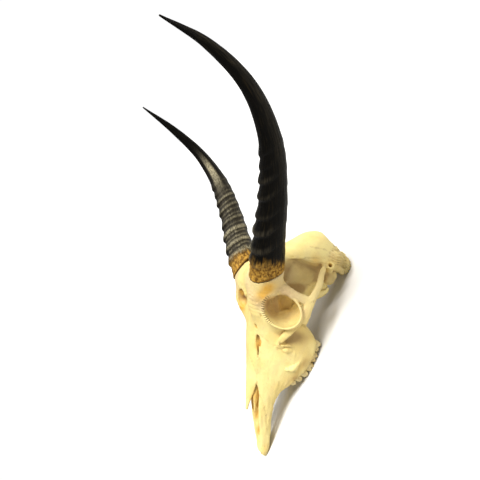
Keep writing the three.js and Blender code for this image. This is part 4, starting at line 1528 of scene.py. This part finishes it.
    def relief(self, points: Array, seam: Array, rough: Array) -> Array:
        """Height along the normal: the sum of all low relief, less the sutures' depth.

        The sum is of the waves, long streaks on the snout, coarse lumps and pits where the bone is
        rough, the nape's layers, the sunken temple and the socket's folds.

        Args:
            points: rows of places.
            seam: the sutures' depth.
            rough: how coarse the bone is.

        Returns:
            One height per point.
        """
        waves = sum(height * noise(points, size, seed) for height, size, seed in self.waves)
        drawn = points * (0.55, 0.09, 0.55) + points[:, [1, 1, 1]] * (0, 0, -0.30)
        streaks = self.streak_height * noise(drawn, 1.0, 8) * smoothstep(0, -30, points[:, 1])
        coarse = rough * (0.34 * noise(points, 3.1, 4) + 0.20 * ridged(points, 2.4, 5))
        layers = self.nape(points) * self.layer_height * self.layers(points)
        layers = layers - self.temple_depth * self.fossa(points)
        pits = -self.pit_depth * rough * smoothstep(0.40, 0.75, noise(points, 2.2, 7))
        waves = waves + streaks + self.fold_height * self.folds(points)
        return waves + coarse + layers + pits - seam

    @staticmethod
    def hollowness(volume: Volume, points: Array, reach: int) -> Array:
        """How shut in a place is: the share of bone in a cube around it, from running sums.

        Args:
            volume: the bone's grid.
            points: rows of places.
            reach: cells from the cube's middle to its faces.

        Returns:
            One share per point, about a half on a flat face.
        """
        full = (volume.values < 0).astype(np.float32)
        for axis in range(3):
            pad = [(0, 0)] * 3
            pad[axis] = (reach + 1, reach)
            run = np.cumsum(np.pad(full, pad), axis=axis)
            size = run.shape[axis]
            upper = np.take(run, np.arange(2 * reach + 1, size), axis)
            lower = np.take(run, np.arange(0, size - 2 * reach - 1), axis)
            full = (upper - lower) / (2 * reach + 1)
        return volume.read(points, full)

    def build(self) -> Mesh:
        """The bone's mesh: the grid's skin, thinned, with its relief and marks.

        Returns:
            The mesh, with its seam, rough, stain, hollow, deep and flesh marks; hollow and deep are
            painted shade.
        """
        volume = self.distances().whole()
        points, faces = volume.skin()
        LOG.info("bone grid %s gives %d faces", volume.values.shape, len(faces))
        mesh = thinned(mesh_of("skull_bone", points, faces.tolist()), self.most_triangles)
        points, normals = places_of(mesh)
        seam = np.zeros(len(points))
        depth = np.zeros(len(points))
        for line in self.seams():
            mask = line.mask(points, normals)
            seam = np.maximum(seam, mask)
            depth = np.maximum(depth, mask * line.depth)
        # Painted shade in the valleys of the nape's layers, drawn as dark lines with the sutures
        cracks = self.nape(points) * smoothstep(-0.3, -1.1, self.layers(points))
        seam = np.maximum(seam, cracks)
        rough = self.roughness(points)
        # Painted shade: grey-brown patches and the sunken temple field
        shade = patches(self.painted_shade_patches, points) + self.temple_shade * self.fossa(points)
        outside = points + normals * 1.5
        close = self.hollowness(volume, outside, self.near_reach)
        broad = self.hollowness(volume, outside, self.broad_reach)
        # Painted shade: tan where the bone around a place shuts it in
        hollow = smoothstep(0.36, 0.72, close) * 0.6 + smoothstep(0.40, 0.72, broad) * 0.9
        # Painted shade: dark brown where the bone shuts a place in widely, and in the forehead's opening
        deep = smoothstep(0.62, 0.85, broad) + patches(self.painted_foramen_shade, points)
        marks = {"seam": seam, "rough": rough, "stain": patches(self.amber, points),
                 "hollow": hollow + shade, "deep": deep, "flesh": patches(self.pinkish, points)}
        place(mesh, points + normals * self.relief(points, depth, rough)[:, None])
        for name, values in marks.items():
            mark(mesh, name, np.clip(values, 0, 1))
        return mesh


@dataclass(frozen=True)
class NasalBones:
    """The arched pair of nasal bones, a shell that runs out over the nose opening to two points."""

    thickness: float = 2.4
    # y, ridge height, half width and height of the outer edge
    stations: Rows = (
        (-113.5, 47.8, 1.6, 46.8), (-106, 51.2, 4, 48.6), (-98, 54.6, 6.6, 50), (-88, 58.8, 10.2, 51.8),
        (-76, 64, 15.2, 55.4), (-60, 71.2, 16.8, 62))

    def box(self) -> Pair:
        """Lowest and highest corner."""
        return np.array([0, -113.5, 43.0]), np.array([17.0, -60.0, 72.0])

    def distance(self, x: Array, y: Array, z: Array) -> Array:
        """The larger of the distance from the arch and the distance past its edge.

        The arch falls from the ridge to the outer edge by a quarter of a cosine.
        """
        table = np.array(self.stations)
        rows = monotone(y.ravel(), table[:, 0], table[:, 1:])
        ridge, half, edge = (rows[:, k].reshape(y.shape) for k in range(3))
        share = np.clip(x / half, 0, 1)
        arch = edge + (ridge - edge) * np.cos(share * np.pi / 2) - self.thickness / 2
        shell = np.abs(z - arch) * 0.9 - self.thickness / 2
        tip = table[0, 0] - y
        past = np.maximum(x - half, tip)
        return np.maximum(shell, past)


def thinned(mesh: Mesh, most: int) -> Mesh:
    """The mesh with its flattest stretches thinned.

    Args:
        mesh: a mesh of four-sided faces, which is removed.
        most: how many triangles may be left.

    Returns:
        The thinner mesh, under the same name.
    """
    name = mesh.name
    holder = in_scene("bone_holder", mesh)
    thin = holder.modifiers.new("thin", "DECIMATE")
    thin.ratio = min(1.0, most / (2 * len(mesh.polygons)))
    graph = bpy.context.evaluated_depsgraph_get()
    result = bpy.data.meshes.new_from_object(holder.evaluated_get(graph))
    bpy.data.objects.remove(holder)
    bpy.data.meshes.remove(mesh)
    result.name = name
    smooth(result)
    return result


# The horns


@dataclass
class Horns:
    """The pair of horns: a curve, radii along it, rings, fibres and a ragged rim.

    front points to the horn's front at its base. ring_width and ripple_width are the half widths
    of a ridge towards the base and towards the tip. rim_rise is the rim's mean place along the
    horn, what it loses in front and what it gains at the sides. burr_reach is how far the brown
    foot runs up, what it gains in front and what it gains on the outer side.
    """

    line: tuple[Point, ...] = ((37.5, 42.9, 104.5), (72.4, 81.5, 131), (103.9, 124.2, 157.5),
                               (131.7, 162.8, 189.5), (150.7, 192.5, 234.2), (154.4, 207.7, 286.8),
                               (144.1, 213.2, 341.9))
    radii: tuple[float, ...] = (22.0, 18.2, 15.5, 12.7, 9.0, 5.7, 0.9)
    front: Point = (-0.30, -0.75, 0.60)
    around: int = 112
    rows: int = 760
    ring_places: tuple[float, ...] = (29.0, 47.0, 68.0, 88.0, 112.0, 131.0, 147.0, 163.0)
    ring_height: float = 3.1
    ring_width: tuple[float, float] = (3.0, 8.0)
    ripple_pitch: tuple[float, float] = (6.5, 10.5)
    ripple_width: tuple[float, float] = (1.1, 2.4)
    ripple_height: float = 0.55
    ripple_start: float = 19.0
    slant: float = 7.0
    rim_rise: Point = (9.5, 7, 5)
    burr_reach: Point = (25, 10, 5)
    thread_height: float = 0.16
    rim_drop: float = 1.3
    core: float = 16.8
    core_end: float = 29.0

    def axis(self, at: Array) -> tuple[Array, Array, Array, Array]:
        """The horn's own frame along it; it runs straight on before its start.

        Args:
            at: lengths along the horn, of any shape.

        Returns:
            Centre, front, side and direction at each length.
        """
        curve = centripetal(np.array(self.line), 60)
        lengths = np.concatenate([[0], np.cumsum(np.linalg.norm(np.diff(curve, axis=0), axis=1))])
        ways = np.gradient(curve, lengths, axis=0)
        inside = np.clip(at, 0, lengths[-1])
        centre = np.stack([np.interp(inside, lengths, curve[:, k]) for k in range(3)], -1)
        way = np.stack([np.interp(inside, lengths, ways[:, k]) for k in range(3)], -1)
        way /= np.linalg.norm(way, axis=-1, keepdims=True)
        centre = centre + way * np.minimum(at, 0)[..., None]
        hint = np.array(self.front)
        front = hint - way * (way @ hint)[..., None]
        front /= np.linalg.norm(front, axis=-1, keepdims=True)
        return centre, front, -np.cross(front, way), way

    def length(self) -> float:
        """Length along the curve."""
        curve = centripetal(np.array(self.line), 60)
        return float(np.linalg.norm(np.diff(curve, axis=0), axis=1).sum())

    def core_rows(self, radius: float, start: float, end: float) -> Rows:
        """Rows for a round stem along the horn's own line, a tenth thinner at its end.

        Args:
            radius: its radius at the start.
            start: where it starts along the horn.
            end: where it ends.

        Returns:
            Rows of x, y, z and two half widths.
        """
        at = np.linspace(start, end, 4)
        centre = self.axis(at)[0]
        sizes = radius * (1 - 0.1 * np.linspace(0, 1, 4))
        return tuple((*c, s, s) for c, s in zip(centre, sizes))

    def ripples(self) -> Array:
        """Places of the weak ridges between the rings, closer together near the base."""
        places, at, last = [], self.ripple_start, self.ring_places[-1] + 20
        while at < last:
            places.append(at)
            at += self.ripple_pitch[0] + (self.ripple_pitch[1] - self.ripple_pitch[0]) * at / last
        return np.array(places)

    def rim(self, to_front: Array, to_side: Array) -> Array:
        """How far along the horn its rim lies: low in front, higher behind and at the sides."""
        mean, front, sides = self.rim_rise
        return mean - front * to_front + sides * to_side**2

    def ridges(self, at: Array, to_front: Array, to_side: Array, fibre: Array) -> Pair:
        """Height of the rings, and how much a place belongs to a crest.

        A ring is a bell over the length, steep towards the base and long towards the tip. It
        stands further up the horn behind than in front, wanders by noise, and is lowest behind.

        Args:
            at: lengths along the horn.
            to_front: cosine of the angle from the front, per column.
            to_side: its sine, positive away from the other horn.
            fibre: the fibre vector of each place.

        Returns:
            The height, and the share of a crest from 0 to 1.
        """
        lean = self.slant * (1 + np.clip(to_side, 0, 1))
        level = at - lean * (1 - to_front) * np.sin(np.clip(at / 200, 0, 1) * np.pi) ** 0.5
        wide = fibre * (0.12, 0.12, 0.6)
        level = level + 1.5 * noise(wide, 1.0, 25)
        last = self.ring_places[-1]
        height = np.zeros_like(at)
        for k, ring in enumerate(self.ring_places):
            rise = level - ring
            width = np.where(rise < 0, *self.ring_width)
            strength = (1 - 0.45 * ring / last) * (0.9 + 0.12 * (k % 3))
            height += strength * self.ring_height * bell(rise, width)
        crest = smoothstep(0.45, 0.95, height / self.ring_height)
        patchy = 0.35 + 0.85 * smoothstep(-0.5, 0.6, noise(wide * 1.3, 1.0, 31))
        wander = 0.8 * noise(wide * 2.5, 1.0, 26)
        for k, ripple in enumerate(self.ripples()):
            rise = level + wander - ripple
            width = np.where(rise < 0, *self.ripple_width)
            ridge = bell(rise, width) * smoothstep(last + 30, last - 60, ripple) * patchy
            height += ridge * self.ripple_height * (0.7 + 0.3 * (k % 2)) * smoothstep(0.5, -0.1, to_side)
            crest = np.maximum(crest, 0.5 * ridge * smoothstep(0.3, -0.2, to_side))
        lateral = 0.06 + 0.94 * smoothstep(-0.45, 0.75, to_front)
        medial = 0.45 + 0.55 * smoothstep(-0.2, 0.95, to_front)
        return height * (medial + (lateral - medial) * smoothstep(-0.3, 0.5, to_side)), crest

    def build(self, name: str, mirror: bool) -> Mesh:
        """One horn.

        The radius is the smooth taper, plus rings and weak ridges, plus fibres that are noise
        drawn out lengthwise. Rows first run down inside, round the rim and then outside to the tip.

        Args:
            name: the mesh's name.
            mirror: whether it is the right horn.

        Returns:
            The mesh, with its fibre, burr, worn, crest and above marks; worn and crest carry painted
            light.
        """
        length = self.length()
        turn = np.linspace(0, 2 * np.pi, self.around, endpoint=False)
        to_front, to_side = np.cos(turn), np.sin(turn)
        start = self.ring_places[0] + 10
        wave = np.stack([to_front * 9, to_side * 9, np.zeros_like(turn)], 1)
        rim = self.rim(to_front, to_side) + 0.7 * noise(wave, 2.2, 21) + 0.4 * noise(wave, 0.8, 22)
        low = np.linspace(0, 1, 110, endpoint=False)[:, None]
        high = np.linspace(start, length - 0.6, self.rows)[:, None]
        at = np.concatenate([rim + (start - rim) * low, high + 0 * rim])
        flat = np.clip(at, 0, length)
        share = np.linspace(0, length, len(self.radii))
        radius = monotone(flat.ravel(), share, np.array(self.radii)[:, None]).reshape(at.shape)
        fibre = np.stack([to_front * radius * 0.9, to_side * radius * 0.9, at * 0.045], -1)
        threads = noise(fibre, 1.0, 23)
        coarse = noise(fibre * (0.5, 0.5, 1.6), 1.0, 24)
        ridges, crest = self.ridges(at, to_front, to_side, fibre)
        above = at - rim
        high_burr = self.burr_reach[0] + self.burr_reach[1] * to_front + self.burr_reach[2] * to_side
        burr = smoothstep(1.0, 0.45, (above + 6.0 * threads + 4.0 * coarse) / high_burr)
        flakes = noise(fibre * (0.35, 0.35, 7.0), 1.0, 27)
        relief = ridges + self.thread_height * threads
        relief = relief + self.thread_height * coarse * smoothstep(230, 90, at)
        relief = relief + burr * (0.45 * threads + 0.55 * flakes)
        relief = relief - self.rim_drop * smoothstep(2.2, 0, above)
        relief = relief * smoothstep(length, length - 25, at)
        centre, front, side, _ = self.axis(at)
        reach = (radius + relief)[..., None]
        outer = centre + front * to_front[:, None] * reach + side * to_side[:, None] * reach
        steps = np.array([self.core_end, self.core_end - 0.5, 24.0, 20.0])[:, None]
        inner_at = np.concatenate([steps + 0 * rim, (rim + 1.2)[None]])
        centre, front, side, _ = self.axis(inner_at)
        core = (self.core * (1 - 0.1 * np.clip((inner_at + 20) / 50, 0, 1)))[..., None]
        core[0] *= 0.5
        inner = centre + front * to_front[:, None] * core + side * to_side[:, None] * core
        lip = (inner[-1] + outer[0]) / 2 - self.axis(rim)[3] * 0.6
        rows = np.concatenate([inner, lip[None], outer])
        top = self.axis(np.array([self.core_end]))[0][0]
        tip = self.axis(np.array([length]))[0][0]
        # Painted light: worn and crest mark a lighter grey face, pale highlights and a dull gloss
        worn, crest = self.worn(at, to_front, to_side, threads, crest)
        marks = {"burr": burr, "worn": worn, "crest": crest, "above": np.clip(above / 20, 0, 1)}
        pad = len(rows) - len(outer)
        if mirror:
            rows, top, tip = rows * (-1, 1, 1), top * (-1, 1, 1), tip * (-1, 1, 1)
            rows = rows[:, ::-1]
            marks = {key: value[:, ::-1] for key, value in marks.items()}
            fibre = fibre[:, ::-1] + 40
        mesh = sheet(name, rows, top, tip)
        hidden = 1 + pad * self.around
        for key, value in marks.items():
            mark(mesh, key, np.concatenate([np.ones(hidden), value.ravel(), [0.0]]))
        fibre = np.concatenate([np.zeros((hidden, 3)), fibre.reshape(-1, 3), np.zeros((1, 3))])
        mark(mesh, "fibre", fibre)
        return mesh

    def worn(self, at: Array, to_front: Array, to_side: Array, threads: Array,
             crest: Array) -> Pair:
        """Where the keratin is painted a lighter grey, as light falls on it, and where painted highlights
        lie.

        The inner face is painted grey along its rings, the look of light on it, with a long painted
        highlight above them. The outer face stays black, with painted olive highlights on its crests in
        front and a dull painted gloss lengthwise behind.

        Args:
            at: lengths along the horn.
            to_front: cosine of the angle from the front, per column.
            to_side: its sine, positive away from the other horn.
            threads: lengthwise noise.
            crest: the share of a ring's crest.

        Returns:
            The share painted lighter grey and the share of painted highlights.
        """
        inner = smoothstep(0.0, 0.8, -to_side * 0.9 + 0.25 * to_front) * smoothstep(225, 130, at)
        painted_streak = bell(at - 192, 30) * smoothstep(0.84, 0.985, -to_side * 0.82 + 0.57 * to_front)
        outer_front = smoothstep(-0.2, 0.7, to_front) * smoothstep(0.0, 0.4, to_side)
        olive = 0.8 * crest * outer_front * smoothstep(190, 150, at)
        back = bell(to_front + 0.45, 0.33) * smoothstep(0.0, 0.5, to_side)
        painted_sheen = 0.42 * back * smoothstep(110, 180, at) * smoothstep(335, 290, at)
        painted_lit_grey = np.clip(inner * (0.8 + 0.35 * threads) + painted_streak + olive + painted_sheen, 0, 1)
        crest = crest * (1 - 0.8 * painted_streak) * smoothstep(0.35, -0.1, to_side)
        return painted_lit_grey, np.clip(np.maximum(crest, painted_streak), 0, 1)


HORNS = Horns()


# The teeth


@dataclass(frozen=True)
class Tooth:
    """A cheek tooth: its edges along Y, its outer face's distance from the middle, width and lobes.

    outer holds that distance at the front and at the back edge, bite and top are heights, notch
    is how far the edge rises between two cusps, and squareness is the power of the outline.
    """

    name: str
    front: float
    back: float
    outer: tuple[float, float]
    width: float
    bite: float
    lobes: int
    top: float = 23.4
    notch: float = 1.9
    squareness: float = 0.55
    around: int = 96

    def socket(self) -> Block:
        """The place that the tooth takes up in the bone, as a blunt block."""
        middle = (self.front + self.back) / 2
        aside = sum(self.outer) / 2 - self.width / 2 + 0.2
        half = ((self.width + 0.6) / 2, (self.back - self.front + 0.5) / 2, 16.0)
        return Block((aside, middle, 8.0), half)

    def build(self, side: int) -> Mesh:
        """The tooth's mesh.

        Its outline is a rounded rectangle whose outer face swells at each lobe, where the edge also
        runs down to a cusp, and whose inner face bulges at each lobe. Rows run from the top down to
        the chewing face and then inwards over it, where crescent hollows lie in each lobe.

        Args:
            side: 1 for the left and -1 for the right.

        Returns:
            The mesh with its groove and pit marks.
        """
        turn = np.linspace(0, 2 * np.pi, self.around, endpoint=False)
        c, s = np.cos(turn), np.sin(turn)
        u = np.sign(c) * np.abs(c) ** self.squareness
        v = np.sign(s) * np.abs(s) ** self.squareness
        along = (v + 1) / 2
        middle = (self.front + self.back) / 2
        half_long = (self.back - self.front) / 2
        face = self.outer[0] + (self.outer[1] - self.outer[0]) * along
        cusp = np.abs(np.sin(along * np.pi * self.lobes))
        wave = np.cos(along * 2 * np.pi * self.lobes)
        fine = 0.2 * np.cos(along * 4 * np.pi * self.lobes)
        ribs = smoothstep(0.2, 1.0, u) * (1.5 * cusp**0.8 - 1.3 + fine)
        bulge = smoothstep(0.2, 1.0, -u) * (0.10 * self.width * (1 + wave))
        x = face - self.width / 2 + u * self.width / 2 + ribs + bulge
        y = middle + v * (half_long + 0.1)
        centre = np.array([sum(self.outer) / 2 - self.width / 2, middle])
        ring = np.stack([x, y], 1)
        edge = [self.bite + 0.35, self.bite + 0.08]
        down = np.concatenate([np.linspace(self.top, self.bite + 0.9, 18), edge])
        depth = (self.top - down) / (self.top - self.bite)
        flare = 1 + 0.035 * np.sin(depth * np.pi) - 0.03 * smoothstep(0.8, 1.0, depth)
        inward = np.linspace(0.90, 0.06, 14)
        scale = np.concatenate([flare, inward])
        flat = centre + (ring - centre) * scale[:, None, None]
        height = np.concatenate([down, np.full(len(inward), self.bite)])[:, None] + 0 * turn
        low = smoothstep(0.55, 1.0, np.concatenate([depth, np.ones(len(inward))]))[:, None]
        height = height + low * self.notch * (1 - cusp**0.75) * smoothstep(-0.3, 0.6, u)
        place_u = (flat[..., 0] - centre[0]) / (self.width / 2)
        place_v = (flat[..., 1] - middle) / half_long
        lobe = np.abs(np.mod((place_v + 1) / 2 * self.lobes, 1) - 0.5) * 2
        crescent = bell(np.abs(place_u) - 0.42 + 0.2 * lobe**2, 0.13) * smoothstep(1.0, 0.75, lobe)
        chewing = (np.arange(len(height)) >= len(down))[:, None]
        pit = crescent * chewing
        worn = 0.25 * smoothstep(0.5, 0.95, np.maximum(np.abs(place_u), lobe * 0.8))
        height = height + chewing * (1.5 * crescent + 0.35 - worn)
        rows = np.concatenate([flat, height[..., None]], -1)
        rows[..., 0] += 0.12 * noise(rows, 2.2, 31)
        rows[..., 2] = np.maximum(rows[..., 2], self.bite + 0.03)
        rows[..., 0] *= side
        if side > 0:
            rows = rows[:, ::-1]
            pit = pit[:, ::-1]
            wave = wave[::-1]
        first = np.array([centre[0] * side, centre[1], self.top])
        last = np.array([centre[0] * side, centre[1], self.bite + 0.4])
        name = f"tooth_{'left' if side > 0 else 'right'}_{self.name}_crown"
        mesh = sheet(name, rows, first, last)
        groove = np.broadcast_to(smoothstep(0.2, -0.8, wave) * 0.6, pit.shape)
        mark(mesh, "pit", np.concatenate([[0.0], pit.ravel(), [0.4]]))
        mark(mesh, "groove", np.concatenate([[0.0], groove.ravel(), [0.2]]))
        return mesh


TEETH = (
    Tooth("p2", -61.6, -54.9, (22.4, 25.4), 7.0, 9.0, 1),
    Tooth("p3", -54.4, -46.6, (25.6, 28.3), 8.4, 5.0, 1),
    Tooth("p4", -46.1, -37.8, (28.6, 30.8), 9.6, 1.6, 1),
    Tooth("m1", -37.3, -25.7, (31.0, 33.2), 11.6, 0.0, 2),
    Tooth("m2", -25.2, -12.4, (33.4, 34.8), 12.2, 1.4, 2),
    Tooth("m3", -11.9, 2.0, (34.8, 33.8), 11.6, 3.6, 2),
)


# The studio


@dataclass(frozen=True)
class Studio:
    """A pale floor, soft lights and the camera at the skull's left side, rolled as pictured."""

    eye: Point = (605.9, -15.2, 273.7)
    ahead: Point = (-0.968, 0.146, -0.203)
    up: Point = (0.042, 0.896, 0.442)
    lens: float = 36.64
    sensor: float = 36.0
    clip: tuple[float, float] = (0.01, 200.0)
    middle: Point = (0.02, 0.02, 0.10)
    floor_half: float = 30.0
    pale: Colour = (0.95, 0.95, 0.95)
    dim: Colour = (0.60, 0.59, 0.57)
    sun_from: Point = (0.40, 0.17, 0.90)
    sun_spread: float = 32.0
    sun_strength: float = 4.1
    sun_tint: Colour = (1.0, 0.985, 0.95)
    room_light: float = 0.28
    room_seen: float = 1.05

    def floor(self) -> None:
        """A wide plain floor."""
        half = self.floor_half
        mesh = bpy.data.meshes.new("pale_floor")
        corners = [(-half, -half, 0), (half, -half, 0), (half, half, 0), (-half, half, 0)]
        mesh.from_pydata(corners, [], [(0, 1, 2, 3)])
        floor = in_scene("pale_floor", mesh)
        material = bpy.data.materials.new("pale_floor")
        material.use_nodes = True
        tree = Tree(material.node_tree)
        shader = material.node_tree.nodes["Principled BSDF"]
        seen = tree.add("LightPath").outputs["Is Camera Ray"]
        tree.link(tree.mix(seen, self.dim, self.pale), shader.inputs["Base Color"])
        shader.inputs["Roughness"].default_value = 0.9
        shader.inputs["Specular IOR Level"].default_value = 0.0
        mesh.materials.append(material)

    def lamp(self, name: str, at: Point, size: float, power: float) -> None:
        """A soft square light that faces the skull's middle.

        Args:
            name: the light's name.
            at: its place in metres.
            size: its side in metres.
            power: in watts.
        """
        data = bpy.data.lights.new(name, "AREA")
        data.size, data.energy = size, power
        light = in_scene(name, data)
        light.location = at
        way = Vector(self.middle) - light.location
        light.rotation_euler = way.to_track_quat("-Z", "Y").to_euler()

    def sun(self) -> None:
        """A wide soft sun over the skull's left and back, which lights all of the floor."""
        data = bpy.data.lights.new("key", "SUN")
        data.energy, data.color = self.sun_strength, self.sun_tint
        data.angle = np.radians(self.sun_spread)
        light = in_scene("key", data)
        light.rotation_euler = Vector(self.sun_from).to_track_quat("Z", "Y").to_euler()

    def sky(self) -> None:
        """White all round, dimmer as a light than as a backdrop."""
        world = bpy.data.worlds.new("white_room")
        bpy.context.scene.world = world
        world.use_nodes = True
        tree = Tree(world.node_tree)
        shade = world.node_tree.nodes["Background"]
        seen = tree.add("LightPath").outputs["Is Camera Ray"]
        extra = tree.times(seen, self.room_seen - self.room_light)
        strength = tree.plus(self.room_light, extra)
        shade.inputs["Color"].default_value = (1, 1, 1, 1)
        tree.link(strength, shade.inputs["Strength"])

    def camera(self) -> None:
        """The camera, from its place, the way it looks and which way is up in the picture."""
        ahead = Vector(self.ahead).normalized()
        right = ahead.cross(Vector(self.up)).normalized()
        up = right.cross(ahead)
        data = bpy.data.cameras.new("picture")
        data.lens, data.sensor_width = self.lens, self.sensor
        data.clip_start, data.clip_end = self.clip
        camera = in_scene("picture", data)
        turned = Matrix((right, up, -ahead)).transposed().to_4x4()
        camera.matrix_world = Matrix.Translation(Vector(np.array(self.eye) * MM + SHIFT)) @ turned
        bpy.context.scene.camera = camera

    def build(self) -> None:
        """Everything around the skull."""
        self.camera()
        self.floor()
        self.sky()
        self.sun()
        self.lamp("fill", (0.9, -0.9, 0.35), 1.2, 1.2)
        self.lamp("rim", (-0.7, 0.6, 0.9), 0.9, 3.0)
        bpy.context.scene.view_settings.view_transform = "Standard"


def main() -> None:
    """Builds the studio, the bone, the horns and the teeth."""
    logging.basicConfig(level=logging.INFO, format="%(message)s")
    Studio().build()
    show(Cranium().build(), BoneFinish().material(), "cranium")
    horn = HornFinish().material()
    show(HORNS.build("horn_left", False), horn, "horn_sheath_left")
    show(HORNS.build("horn_right", True), horn, "horn_sheath_right")
    enamel = ToothFinish().material()
    for side, tooth in product((1, -1), TEETH):
        node = f"tooth_{'left' if side > 0 else 'right'}_{tooth.name}"
        show(tooth.build(side), enamel, node)


if __name__ == "__main__":
    main()
